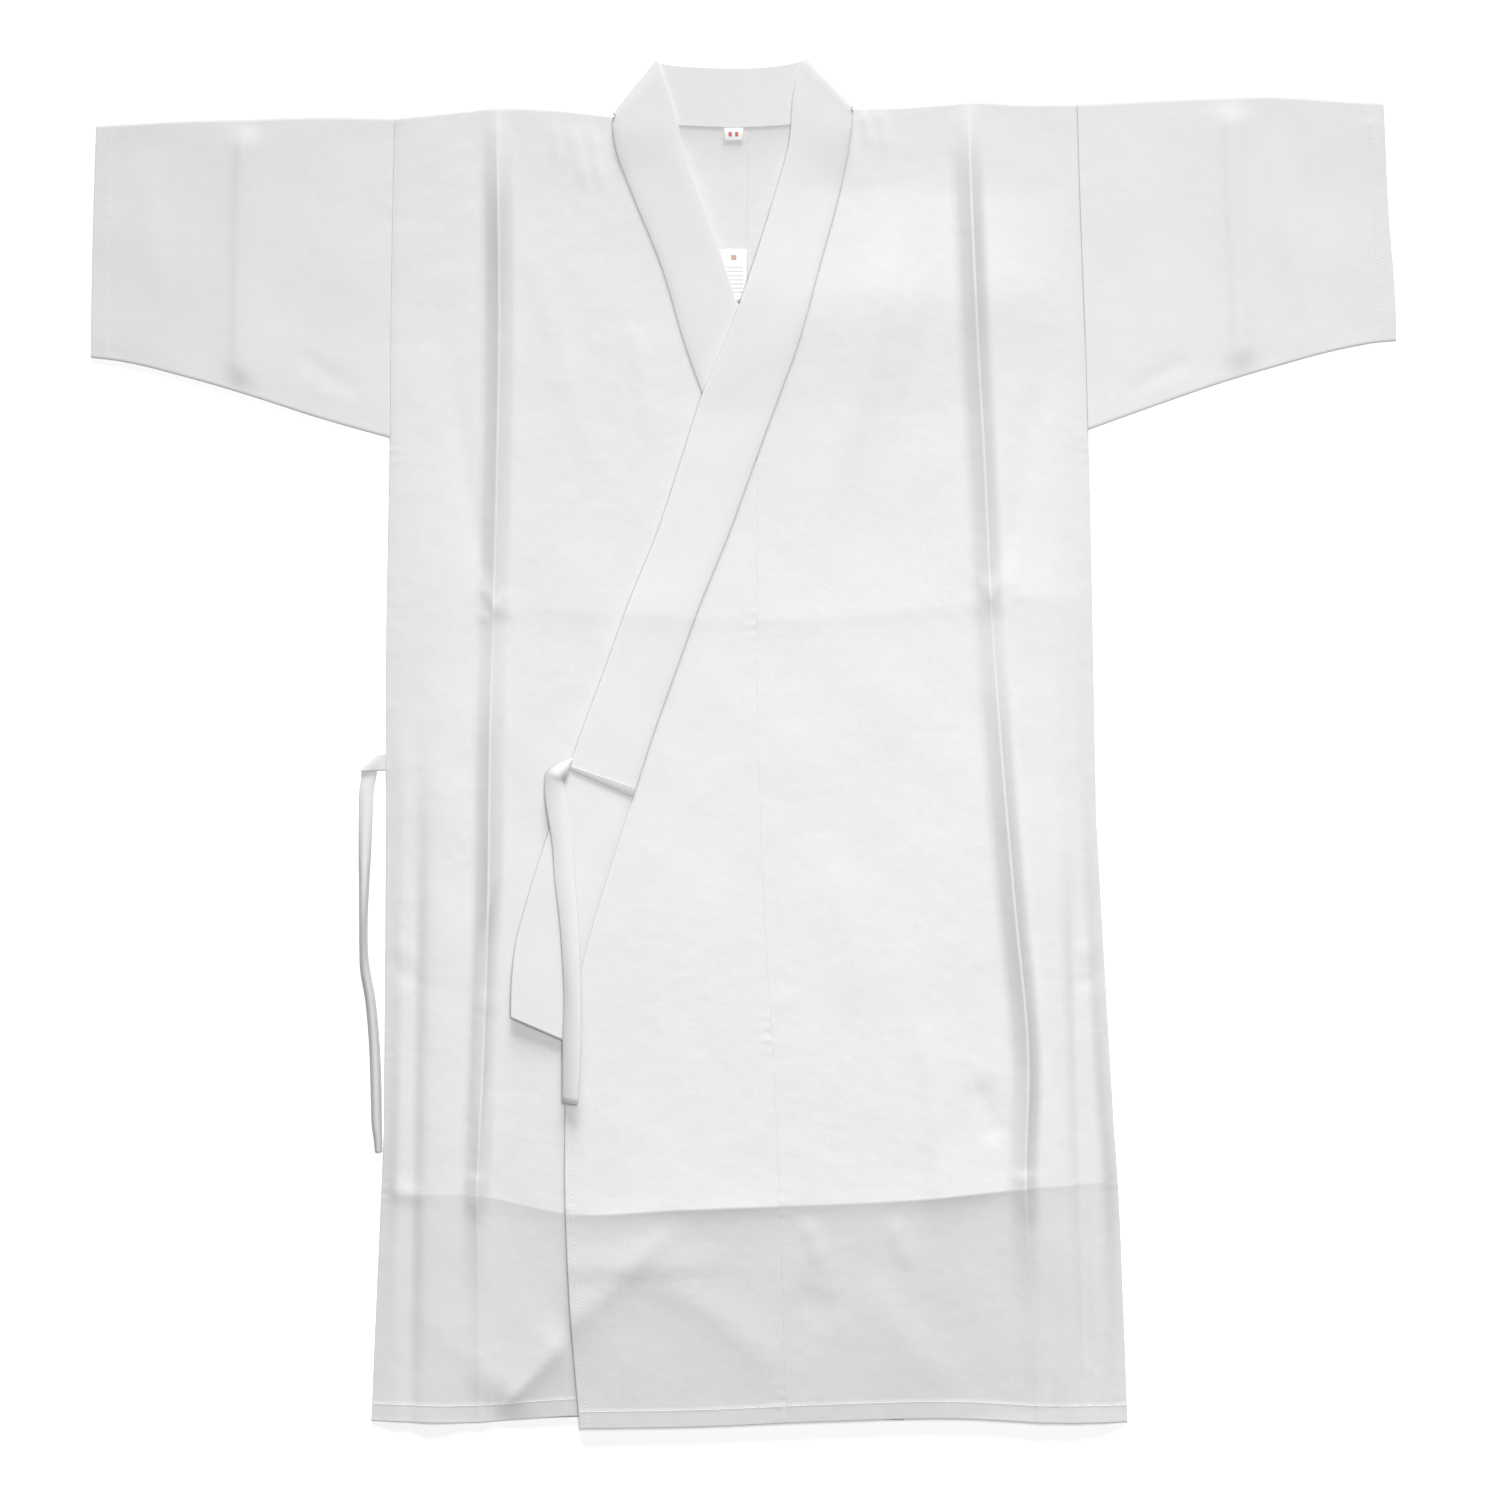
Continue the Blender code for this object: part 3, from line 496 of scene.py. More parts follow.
RIGHT_SLEEVE_FOLDS = (
    Soft((-470.0, 470.0), (-455.0, 400.0), (-448.0, 315.0), 0.6, 11, 11, ROUND),
    Soft((-300.0, 470.0), (-312.0, 380.0), (-330.0, 270.0), 0.6, 12, 14, ROUND),
    Soft((-345.0, 300.0), (-320.0, 284.0), (-290.0, 262.0), -0.6, 7, 7, ROUND),
)
LEFT_SLEEVE_FOLDS = (
    Soft((405.0, 480.0), (418.0, 400.0), (429.0, 318.0), 1.1, 8, 8, ROUND),
    Soft((300.0, 480.0), (306.0, 380.0), (322.0, 280.0), 0.6, 12, 10, ROUND),
    Soft((288.0, 262.0), (320.0, 282.0), (350.0, 296.0), -0.6, 7, 7, ROUND),
)
BACK_FOLDS = (
    Soft((-60.0, 470.0), (-40.0, 420.0), (-10.0, 330.0), 0.5, 8, 8, ROUND),
    Soft((44.0, 470.0), (30.0, 430.0), (12.0, 380.0), 0.4, 7, 7, ROUND),
)


class Waves(NamedTuple):
    """Uneven swell of a panel: greatest height, shortest and longest wave, and the seed of its mix."""

    height: float
    shortest: float
    longest: float
    seed: int


FRONT_WAVES = Waves(0.13, 60.0, 240.0, 11)
SLEEVE_WAVES = Waves(0.16, 60.0, 180.0, 23)
STRIP_WAVES = Waves(0.12, 50.0, 140.0, 31)
STRIP_ROLL = 0.8
STRIP_ROLL_REACH = 3.0
PUCKER_HEIGHT = 0.2
PUCKER_PITCH = 9.0
PUCKER_REACH = 7.0
PUCKER_DRIFTS = ((1.7, 31.0, 1.0), (1.1, 13.0, 2.0))
PUCKER_SIZE = (0.6, 0.4, 47.0)
PUCKER_ENDS = 30.0
BAND_PUCKER_ENDS = 40.0
BAND_STEP_LENGTH = 1.2


def smooth_line(pairs: Sequence[Sequence[float]]) -> Line:
    """Draw a smooth line through places.

    A cubic between each two places matches the slopes there: with s the share of the way, the value
    is the first plus s*s*(3 - 2*s) of the rise, plus s*(1 - s) times the bend that the slopes ask for.

    Args:
        pairs: Rows whose first two values are a place and the line's value there.

    Returns:
        A function of the place, straight past the ends.
    """
    table = np.array(sorted((pair[0], pair[1]) for pair in pairs), float)
    at, value = table[:, 0], table[:, 1]
    slope = np.gradient(value, at)

    def line(place: np.ndarray) -> np.ndarray:
        place = np.asarray(place, float)
        i = np.clip(np.searchsorted(at, place) - 1, 0, len(at) - 2)
        step = at[i + 1] - at[i]
        s = np.clip((place - at[i]) / step, 0, 1)
        bend = s * (1 - s) * step * ((1 - s) * slope[i] - s * slope[i + 1])
        past = np.minimum(place - at[0], 0) * slope[0] + np.maximum(place - at[-1], 0) * slope[-1]
        return value[i] + s * s * (3 - 2 * s) * (value[i + 1] - value[i]) + bend + past

    return line


def column(table: Sequence[NamedTuple], name: str) -> Line:
    """Draw a smooth line from one named column of a table.

    Args:
        table: Rows whose first value is a place.
        name: The column.

    Returns:
        The line through that column.
    """
    return smooth_line([(row[0], getattr(row, name)) for row in table])


def level(value: float) -> Line:
    """Make a line that has the same value everywhere.

    Args:
        value: That value.

    Returns:
        The line.
    """
    return lambda place: np.full_like(np.asarray(place, float), value)


def beside(line: Line, distance: float) -> Line:
    """Move a line sideways.

    Args:
        line: The line.
        distance: How far, signed.

    Returns:
        The moved line.
    """
    return lambda place: line(place) + distance


def between(first: Line, second: Line, share: float) -> Line:
    """Draw the line that lies a share of the way between two others.

    Args:
        first: The line at share 0.
        second: The line at share 1.
        share: The share.

    Returns:
        The line between.
    """
    return lambda place: (1 - share) * first(place) + share * second(place)


def joined(upper: Line, lower: Line, height: float) -> Line:
    """Change from one line down the garment to another at a height.

    Args:
        upper: The line above the height.
        lower: The line below it.
        height: Where they meet.

    Returns:
        The joined line.
    """
    return lambda y: np.where(y > height, upper(np.maximum(y, height)), lower(np.minimum(y, height)))


def mirrored(line: Line) -> Line:
    """Mirror a line about the centre front.

    Args:
        line: A line down the garment.

    Returns:
        Its mirror image.
    """
    return lambda y: 2 * CENTRE_FRONT - line(y)


def crowded(count: int, crowding: float = CROWDING) -> np.ndarray:
    """Space shares from 0 up to 1, without 1, closer together near both ends.

    Each share is t - crowding * sin(2 pi t) / (2 pi) for evenly spaced t.

    Args:
        count: How many.
        crowding: 0 for even spacing, up to 1.

    Returns:
        The shares.
    """
    t = np.arange(count) / count
    return t - crowding * np.sin(2 * np.pi * t) / (2 * np.pi)


def smooth_step(value: np.ndarray) -> np.ndarray:
    """Rise from 0 to 1 with flat ends as the value goes from 0 to 1: s * s * (3 - 2 * s).

    Args:
        value: Any numbers.

    Returns:
        The eased numbers, held at 0 and 1 outside that range.
    """
    s = np.clip(value, 0, 1)
    return s * s * (3 - 2 * s)


def crossings(rows: Sequence[Line], columns: Sequence[Line]) -> tuple[np.ndarray, np.ndarray]:
    """Find where lines across, y of x, meet lines down, x of y, by going back and forth six times.

    Args:
        rows: Lines across the garment.
        columns: Lines down it.

    Returns:
        x and y, a row of values for each line across.
    """
    y = np.stack([row(np.zeros(len(columns))) for row in rows])
    for _ in range(6):
        x = np.stack([line(y[:, j]) for j, line in enumerate(columns)], axis=1)
        y = np.stack([row(x[i]) for i, row in enumerate(rows)])
    return x, y


def with_height(x: np.ndarray, y: np.ndarray, z: np.ndarray | float) -> np.ndarray:
    """Stack coordinates into points.

    Args:
        x: First coordinates.
        y: Second coordinates.
        z: Third coordinates, or one for all.

    Returns:
        Points, in the last axis.
    """
    return np.stack(np.broadcast_arrays(x, y, z), axis=-1).astype(float)


def lengths_along(net: np.ndarray, axis: int) -> np.ndarray:
    """Measure the length walked along a net from its first row or column to each point.

    Args:
        net: Points of the net.
        axis: 0 to walk down the rows, 1 across the columns.

    Returns:
        A length for each point.
    """
    steps = np.linalg.norm(np.diff(net, axis=axis), axis=2)
    start = np.zeros_like(np.take(steps, [0], axis=axis))
    return np.concatenate([start, np.cumsum(steps, axis=axis)], axis=axis)


def normals(net: np.ndarray, tube: bool = False) -> np.ndarray:
    """Work out a net's unit normals: the cross product of its steps down the rows and across them.

    Args:
        net: Points of the net.
        tube: Whether its last row joins its first.

    Returns:
        A normal for each point.
    """
    padded = np.concatenate([net[-1:], net, net[:1]]) if tube else net
    down = np.gradient(padded, axis=0)
    down = down[1:-1] if tube else down
    normal = np.cross(down, np.gradient(net, axis=1))
    return normal / np.maximum(np.linalg.norm(normal, axis=2, keepdims=True), 1e-9)


def rest(name: str, y: np.ndarray) -> np.ndarray:
    """Read a rest height, straight between the rows of the table.

    Args:
        name: The column.
        y: Distances down the garment.

    Returns:
        Heights there.
    """
    table = sorted((row.y, getattr(row, name)) for row in RESTS)
    return np.interp(y, [row[0] for row in table], [row[1] for row in table])


def swell(x: np.ndarray, y: np.ndarray, waves: Waves) -> np.ndarray:
    """Add up twelve slanting sine waves of mixed length, direction and phase into an uneven swell.

    Args:
        x: First coordinates.
        y: Second coordinates.
        waves: Sizes and seed.

    Returns:
        Heights, mostly within the given height of zero.
    """
    mix = np.random.default_rng(waves.seed)
    total = np.zeros_like(x)
    for _ in range(12):
        length = mix.uniform(waves.shortest, waves.longest)
        angle, phase = mix.uniform(0, 2 * np.pi, 2)
        total += np.sin(2 * np.pi * (x * np.cos(angle) + y * np.sin(angle)) / length + phase)
    return total * waves.height / np.sqrt(6)


def soft_fold(x: np.ndarray, y: np.ndarray, fold: Soft) -> np.ndarray:
    """Height of one soft fold: full along its line, falling away to each side and at both ends.

    The line is the parabola through its three places. A round fold falls as exp(-(d/reach)^2) and a
    sharp one as exp(-d/reach), with d the distance from the line and a reach for each side.

    Args:
        x: First coordinates.
        y: Second coordinates.
        fold: The fold.

    Returns:
        Heights.
    """
    t = np.linspace(0, 1, 25)
    start, middle, end = (np.array(place) for place in (fold.start, fold.middle, fold.end))
    bend = 4 * middle - 2 * start - 2 * end
    line = start + t[:, None] * (end - start) + (t * (1 - t))[:, None] * bend
    step = np.diff(line, axis=0)
    away = np.stack([x, y], -1)[..., None, :] - line[:-1]
    part = np.clip((away * step).sum(-1) / (step**2).sum(-1), 0, 1)
    offset = away - part[..., None] * step
    square = (offset**2).sum(-1)
    nearest = square.argmin(-1)[..., None]
    distance = np.sqrt(np.take_along_axis(square, nearest, -1)[..., 0])
    turned = step[:, 0] * offset[..., 1] - step[:, 1] * offset[..., 0]
    side = np.take_along_axis(turned, nearest, -1)[..., 0]
    reach = np.where(side > 0, fold.left, fold.right)
    share = (nearest[..., 0] + np.take_along_axis(part, nearest, -1)[..., 0]) / len(step)
    fade = smooth_step(np.minimum(share, 1 - share) / 0.3)
    power = 2 if fold.profile is Profile.ROUND else 1
    return fold.height * fade * np.exp(-((distance / reach) ** power))


def soft_folds(x: np.ndarray, y: np.ndarray, folds: Sequence[Soft]) -> np.ndarray:
    """Add up soft folds.

    Args:
        x: First coordinates.
        y: Second coordinates.
        folds: The folds.

    Returns:
        Heights.
    """
    return sum((soft_fold(x, y, fold) for fold in folds), np.zeros_like(x))


def puckers(along: np.ndarray, distance: np.ndarray, seed: int) -> np.ndarray:
    """Small uneven gathers beside a row of stitches: a sine along it whose pitch drifts, dying away.

    Args:
        along: Distance along the stitches.
        distance: Distance from them.
        seed: Seed of the drift.

    Returns:
        Heights.
    """
    phase = np.random.default_rng(seed).uniform(0, 6)
    drift = sum(size * np.sin(along / length + turn * phase) for size, length, turn in PUCKER_DRIFTS)
    wave = np.sin(2 * np.pi * along / PUCKER_PITCH + drift)
    mean, change, length = PUCKER_SIZE
    size = mean + change * np.sin(along / length + 3 * phase)
    return PUCKER_HEIGHT * size * wave * np.exp(-np.abs(distance) / PUCKER_REACH)


back_neck = smooth_line(BACK_NECK)
collar_top = smooth_line(COLLAR_TOP)
waist_crease = smooth_line(WAIST_CREASE)
low_crease = smooth_line(LOW_CREASE)
crease_height = smooth_line(CREASE_HEIGHT)
tent_height = smooth_line(TENT_HEIGHT)
lip_height = smooth_line(LIP_HEIGHT)
waist_height = smooth_line(WAIST_HEIGHT)
collar_seam = smooth_line(COLLAR_SEAM)
collar_free = smooth_line(COLLAR_FREE)
okumi_seam = smooth_line(OKUMI_SEAM)
okumi_free = smooth_line(OKUMI_FREE)
right_neckline = smooth_line(RIGHT_NECKLINE)
right_neck_free = smooth_line(RIGHT_NECK_FREE)
station_free = smooth_line(COLLAR_STATIONS)


def tent(x: np.ndarray, y: np.ndarray) -> np.ndarray:
    """Height of the low crease's tent: a slow rise, a short lip and an even fall to the hem.

    Args:
        x: First coordinates.
        y: Second coordinates.

    Returns:
        Heights.
    """
    above = y - low_crease(x)
    fall = np.clip(1 + np.minimum(above, 0) / TENT_FALL, 0, 1)
    rise = np.clip(1 - np.maximum(above, 0) / TENT_RISE, 0, 1) ** 1.2
    lip = np.maximum(lip_height(x), 0) * np.exp(-np.abs(above) / np.where(above > 0, LIP_RISE, LIP_FALL))
    return np.maximum(tent_height(x), 0) * rise * fall + lip


@dataclass(frozen=True)
class Half:
    """Lines of one half of the garment, and the heights of its front."""

    name: str
    sign: int
    side: Line
    crease: Line
    shoulder: Line
    hem: Line
    neckline: Line
    seam: Line
    overlap: Line
    strip_seam: Line
    strip_free: Line
    folds: tuple[Soft, ...]
    reach: tuple[float, float]

    def shown(self, x: np.ndarray, y: np.ndarray) -> np.ndarray:
        """Share of the relief that shows: it dies away before it passes under the other half.

        Args:
            x: First coordinates.
            y: Second coordinates.

        Returns:
            Shares from 0 to 1.
        """
        if self.sign > 0:
            return np.ones_like(x)
        strip_edge = collar_free(np.maximum(y, COLLAR_FREE[-1].y)) + PAST_COLLAR
        strip = np.clip((strip_edge - x) / COLLAR_FADE, 0, 1)
        overlap_edge = okumi_free(np.minimum(y, COLLAR_END)) + PAST_OVERLAP
        overlap = np.clip((overlap_edge - x) / OVERLAP_FADE, 0, 1)
        return overlap + (strip - overlap) * smooth_step((y - COLLAR_END + CHANGE_BELOW) / CHANGE_LENGTH)

    def relief(self, x: np.ndarray, y: np.ndarray) -> np.ndarray:
        """Height of the front cloth above its rest.

        The pressed crease falls as (1 - d/reach)^1.2 to each side. The waist's crease rises gently and
        falls fast, and soft folds, the uneven swell and the tent are added. The cloth rolls down to the
        side seam as exp(-d/reach).

        Args:
            x: First coordinates.
            y: Second coordinates.

        Returns:
            Heights.
        """
        away = x - self.crease(y)
        near = np.clip(1 - np.abs(away) / np.where(away < 0, self.reach[0], self.reach[1]), 0, 1)
        crease = CREASE_GROWTH * crease_height(y) * near**1.2
        share = np.clip((x - self.crease(y)) / (self.side(y) - self.crease(y)), 0, 1)
        side = SIDE_SWELL * np.sin(np.pi * share) ** 2 * np.clip((SWELL_TOP - y) / SWELL_LENGTH, 0, 1)
        over = y - waist_crease(x)
        blunt = np.hypot(over, WAIST_ROUND) - WAIST_ROUND
        waist = waist_height(x) * np.exp(-blunt / np.where(over > 0, WAIST_RISE, WAIST_FALL))
        uneven = soft_folds(x, y, self.folds) + swell(x, y, FRONT_WAVES)
        edge = np.abs(x - self.side(y))
        roll = ROLL_DEPTH * np.exp(-edge / ROLL_REACH)
        local = (crease + side + waist + uneven) * self.shown(x, y)
        return (local + tent(x, y)) * smooth_step(edge / EDGE_FADE) - roll

    def lift(self, x: np.ndarray, y: np.ndarray) -> np.ndarray:
        """Rest height of the front: one layer, or for the left front its place above the right one.

        Args:
            x: First coordinates.
            y: Second coordinates.

        Returns:
            Heights of its lower face.
        """
        if self.sign < 0:
            return np.full_like(x, CLOTH.layer)
        share = np.clip((self.side(y) - x) / (self.side(y) - self.crease(y)), 0, 1)
        return CLOTH.layer + (rest("left_cloth", y) - CLOTH.layer) * share

    def height(self, x: np.ndarray, y: np.ndarray) -> np.ndarray:
        """Middle height of the front cloth.

        Args:
            x: First coordinates.
            y: Second coordinates.

        Returns:
            Heights.
        """
        return self.lift(x, y) + self.relief(x, y) + CLOTH.middle


RIGHT = Half(
    name="right",
    sign=-1,
    side=column(RIGHT_BODY, "side"),
    crease=column(RIGHT_BODY, "crease"),
    shoulder=smooth_line(RIGHT_SHOULDER),
    hem=smooth_line(RIGHT_HEM),
    neckline=right_neckline,
    seam=mirrored(okumi_seam),
    overlap=mirrored(joined(beside(collar_seam, CLOTH.gap), beside(okumi_free, CLOTH.gap), COLLAR_END)),
    strip_seam=joined(right_neckline, mirrored(collar_seam), BREAST),
    strip_free=joined(right_neck_free, mirrored(collar_free), RIGHT_NECK_FREE[-1].y),
    folds=RIGHT_FOLDS,
    reach=(13.0, 13.0),
)
LEFT = Half(
    name="left",
    sign=1,
    side=column(LEFT_BODY, "side"),
    crease=column(LEFT_BODY, "crease"),
    shoulder=smooth_line(LEFT_SHOULDER),
    hem=smooth_line(LEFT_HEM),
    neckline=collar_seam,
    seam=okumi_seam,
    overlap=joined(beside(collar_seam, CLOTH.gap), beside(okumi_free, CLOTH.gap), COLLAR_END),
    strip_seam=collar_seam,
    strip_free=collar_free,
    folds=LEFT_FOLDS,
    reach=(14.0, 11.0),
)


@dataclass
class Panel:
    """A net of cloth with its shell's thickness, and the piece made from it."""

    name: str
    net: np.ndarray
    thickness: float
    tube: bool = False

    @property
    def face(self) -> np.ndarray:
        """Points of the outer face: the net moved out along its normals by half the thickness."""
        return self.net + normals(self.net, self.tube) * (self.thickness / 2)

    def build(self) -> bpy.types.Object:
        """Make the shell: the net moved out and in by half the thickness, joined by rounded rims.

        The rim's middle points are pushed outward by a third of the thickness, so that each edge
        looks folded. The map UV holds the lengths walked along the net, in metres, and an attribute
        holds the share of shade painted into the colour: it grows with how steep the cloth stands, and
        the rims all get one fixed share.

        Returns:
            The piece.
        """
        rows, columns = self.net.shape[:2]
        normal = normals(self.net, self.tube)
        half = self.thickness / 2
        count = rows * columns
        index = np.arange(count).reshape(rows, columns)
        loops = [index[:, 0], index[::-1, -1]]
        if self.tube:
            index = np.vstack([index, index[:1]])
            loops = [np.append(loop, loop[0]) for loop in loops]
            outline = loops
        else:
            outline = [np.concatenate([index[:, 0], index[-1, 1:], index[-2::-1, -1], index[0, -2::-1]])]
        flat_net, flat_normal = self.net.reshape(-1, 3), normal.reshape(-1, 3)
        points = [flat_net + flat_normal * half, flat_net - flat_normal * half]
        a, b, c, d = index[:-1, :-1], index[1:, :-1], index[1:, 1:], index[:-1, 1:]
        quads = [
            np.stack([a, b, c, d], -1).reshape(-1, 4),
            np.stack([a, d, c, b], -1).reshape(-1, 4) + count,
        ]
        start = 2 * count
        for loop in outline:
            ring = loop[:-1]
            step = np.roll(flat_net[ring], -1, axis=0) - np.roll(flat_net[ring], 1, axis=0)
            out = np.cross(step, flat_normal[ring])
            out /= np.maximum(np.linalg.norm(out, axis=1, keepdims=True), 1e-9)
            points.append(flat_net[ring] + out * self.thickness / 3)
            middle = start + np.arange(len(ring))
            after, middle_after = np.roll(ring, -1), np.roll(middle, -1)
            quads.append(np.stack([after, ring, middle, middle_after], -1))
            quads.append(np.stack([middle_after, middle, ring + count, after + count], -1))
            start += len(ring)
        faces = np.concatenate(quads)
        places = np.concatenate(points) * MM
        across = lengths_along(self.net, 1).reshape(-1) * MM
        along = lengths_along(self.net, 0).reshape(-1) * MM
        ring_index = [loop[:-1] for loop in outline]
        source = np.concatenate([np.arange(count), np.arange(count), *ring_index])
        piece = make_mesh(self.name, places, faces, np.stack([across[source], along[source]], -1))
        # Painted shade: the share by which the colour is darkened grows with the cloth's steepness, and every
        # rim gets one fixed share.
        painted_shade_share = np.clip((1 - np.abs(flat_normal[:, 2])) / CLOTH.painted_shade_slope, 0, 1)
        shares = np.concatenate([painted_shade_share, painted_shade_share, np.full(len(source) - 2 * count, RIM_PAINTED_SHADE)]).astype(np.float32)
        piece.data.attributes.new(PAINTED_SHADE_ATTRIBUTE, "FLOAT", "POINT").data.foreach_set("value", shares)
        return piece


def make_mesh(name: str, places: np.ndarray, faces: np.ndarray, flat: np.ndarray) -> bpy.types.Object:
    """Make a smooth quad mesh with a UV map, at the origin.

    Args:
        name: Name of the piece.
        places: Points in metres.
        faces: Four point numbers for each face.
        flat: UV of each point.

    Returns:
        The piece.
    """
    mesh = bpy.data.meshes.new(name)
    mesh.vertices.add(len(places))
    mesh.vertices.foreach_set("co", places.astype(np.float32).reshape(-1))
    mesh.loops.add(faces.size)
    mesh.loops.foreach_set("vertex_index", faces.astype(np.int32).reshape(-1))
    mesh.polygons.add(len(faces))
    mesh.polygons.foreach_set("loop_start", np.arange(0, faces.size, 4, dtype=np.int32))
    layer = mesh.uv_layers.new(name="UVMap")
    layer.data.foreach_set("uv", flat[faces.reshape(-1)].astype(np.float32).reshape(-1))
    mesh.update(calc_edges=True)
    mesh.shade_smooth()
    piece = bpy.data.objects.new(name, mesh)
    bpy.context.scene.collection.objects.link(piece)
    return piece


@dataclass(frozen=True)
class Thread:
    """Sizes of a row of stitches."""

    pitch: float = 3.0
    length: float = 2.2
    width: float = 0.45
    height: float = 0.28


THREAD = Thread()


class Stitches:
    """Rows of stitches that lie on panels, gathered into one piece."""

    def __init__(self, name: str) -> None:
        """Start with no stitch.

        Args:
            name: Name of the piece.
        """
        self.name = name
        self.starts: list[np.ndarray] = []
        self.ends: list[np.ndarray] = []
        self.ups: list[np.ndarray] = []

    def add(self, path: np.ndarray, up: np.ndarray, thread: Thread = THREAD) -> None:
        """Lay stitches along a path, one for each pitch of its length.

        Args:
            path: Points of the path, on the cloth.
            up: The cloth's normals there.
            thread: Sizes.
        """
        walked = np.concatenate([[0], np.cumsum(np.linalg.norm(np.diff(path, axis=0), axis=1))])
        first = np.arange(thread.pitch / 2, walked[-1] - thread.length, thread.pitch)
        place = [np.stack([np.interp(at, walked, path[:, i]) for i in range(3)], -1)
                 for at in (first, first + thread.length)]
        self.starts.append(place[0])
        self.ends.append(place[1])
        self.ups.append(np.stack([np.interp(first, walked, up[:, i]) for i in range(3)], -1))

    def build(self) -> bpy.types.Object:
        """Make every stitch as a small six-sided lozenge bent over the cloth.

        Each has a ring of four points at its middle and one at each end, at the ends' level.

        Returns:
            The piece.
        """
        start, end, up = (np.concatenate(part) for part in (self.starts, self.ends, self.ups))
        along = end - start
        length = np.linalg.norm(along, axis=1, keepdims=True)
        across = np.cross(up, along / length)
        shares = np.array((0.0, 0.22, 0.78, 1.0))
        rings = []
        for share, size in zip(shares, (0.35, 1.0, 1.0, 0.35), strict=True):
            middle = start + along * share
            for side, rise in ((-0.5, -0.2), (0.5, -0.2), (0.3, 1.0), (-0.3, 1.0)):
                shift = across * side * THREAD.width + up * rise * THREAD.height
                rings.append(middle + shift * size)
        points = np.stack(rings, axis=1)
        quads = []
        for ring in range(3):
            for side in range(4):
                a, b = 4 * ring + side, 4 * ring + (side + 1) % 4
                quads.append((a, b, b + 4, a + 4))
        quads += [(3, 2, 1, 0), (12, 13, 14, 15)]
        faces = (np.arange(len(start)) * 16)[:, None, None] + np.array(quads)
        flat = np.stack([np.tile(np.repeat(shares, 4), len(start)), np.zeros(len(start) * 16)], -1)
        return make_mesh(self.name, points.reshape(-1, 3) * MM, faces.reshape(-1, 4), flat)


def front_rows(half: Half) -> tuple[list[Line], dict[str, int]]:
    """List every line across a front, crowded along its creases and its hem.

    Args:
        half: The half.

    Returns:
        The lines, and the number of the line at each named guide.
    """
    band = beside(half.hem, CLOTH.hem_band)
    guides = {
        "shoulder": beside(half.shoulder, -TURN_INSET),
        "breast": level(BREAST),
        "waist": waist_crease,
        "collar_end": level(COLLAR_END),
        "low": low_crease,
        "band": band,
        "hem": half.hem,
    }
    counts = (CHEST_ROWS, WAIST_ROWS, BELLY_ROWS, THIGH_ROWS, HEM_ROWS, BAND_ROWS)
    lines, places = [], {}
    names = list(guides)
    for name, after, count in zip(names, names[1:], counts):
        places[name] = len(lines)
        lines += [between(guides[name], guides[after], share) for share in crowded(count)]
    lines += [beside(half.hem, EDGE_OFFSET), half.hem]
    places["hem"] = len(lines) - 1
    return lines, places


def front_columns(half: Half, edge: Line) -> list[Line]:
    """List the lines down a front in the order of X, crowded along its pressed crease and its edges.

    Args:
        half: The half.
        edge: Its inner edge.

    Returns:
        The lines.
    """
    near = beside(half.crease, half.sign * CREASE_OFFSETS[0])
    far = beside(half.crease, -half.sign * CREASE_OFFSETS[0])
    inside_side = beside(half.side, -half.sign * EDGE_OFFSET)
    inside_edge = beside(edge, half.sign * EDGE_OFFSET)
    lines = [half.side]
    lines += [between(inside_side, near, i / SIDE_STEPS) for i in range(SIDE_STEPS)]
    offsets = [half.sign * offset for offset in CREASE_OFFSETS]
    offsets += [-offset for offset in offsets[-2::-1]]
    lines += [beside(half.crease, offset) for offset in offsets]
    lines += [between(far, inside_edge, i / CHEST_STEPS) for i in range(1, CHEST_STEPS + 1)]
    lines.append(edge)
    return lines[::-half.sign]


def turn(lower: np.ndarray, upper: np.ndarray, outward: np.ndarray, steps: int = 3) -> np.ndarray:
    """Carry a net round a fold on half a circle: middle + radius * (cos a * outward + sin a * up).

    Args:
        lower: The row below the fold.
        upper: The row above it.
        outward: The way that the fold faces.
        steps: How many rows to add.

    Returns:
        The rows between the lower and the upper one.
    """
    middle = (lower + upper) / 2
    radius = np.linalg.norm(upper - lower, axis=1)[:, None] / 2
    up = (upper - lower) / (2 * radius)
    angles = np.radians(np.linspace(-90, 90, steps + 2)[1:-1])
    return np.stack([middle + radius * (np.cos(a) * outward + np.sin(a) * up) for a in angles])


def back_rise(x: np.ndarray, y: np.ndarray) -> np.ndarray:
    """How far the back climbs to the collar's seam behind the neck: it dies away as exp(-d/reach).

    Args:
        x: First coordinates.
        y: Second coordinates.

    Returns:
        Heights.
    """
    fade = smooth_step((x - BACK_NECK[0][0]) / NECK_FADE) * smooth_step((BACK_NECK[-1][0] - x) / NECK_FADE)
    return BACK_RISE * fade * np.exp(-np.abs(back_neck(x) - y) / BACK_REACH)


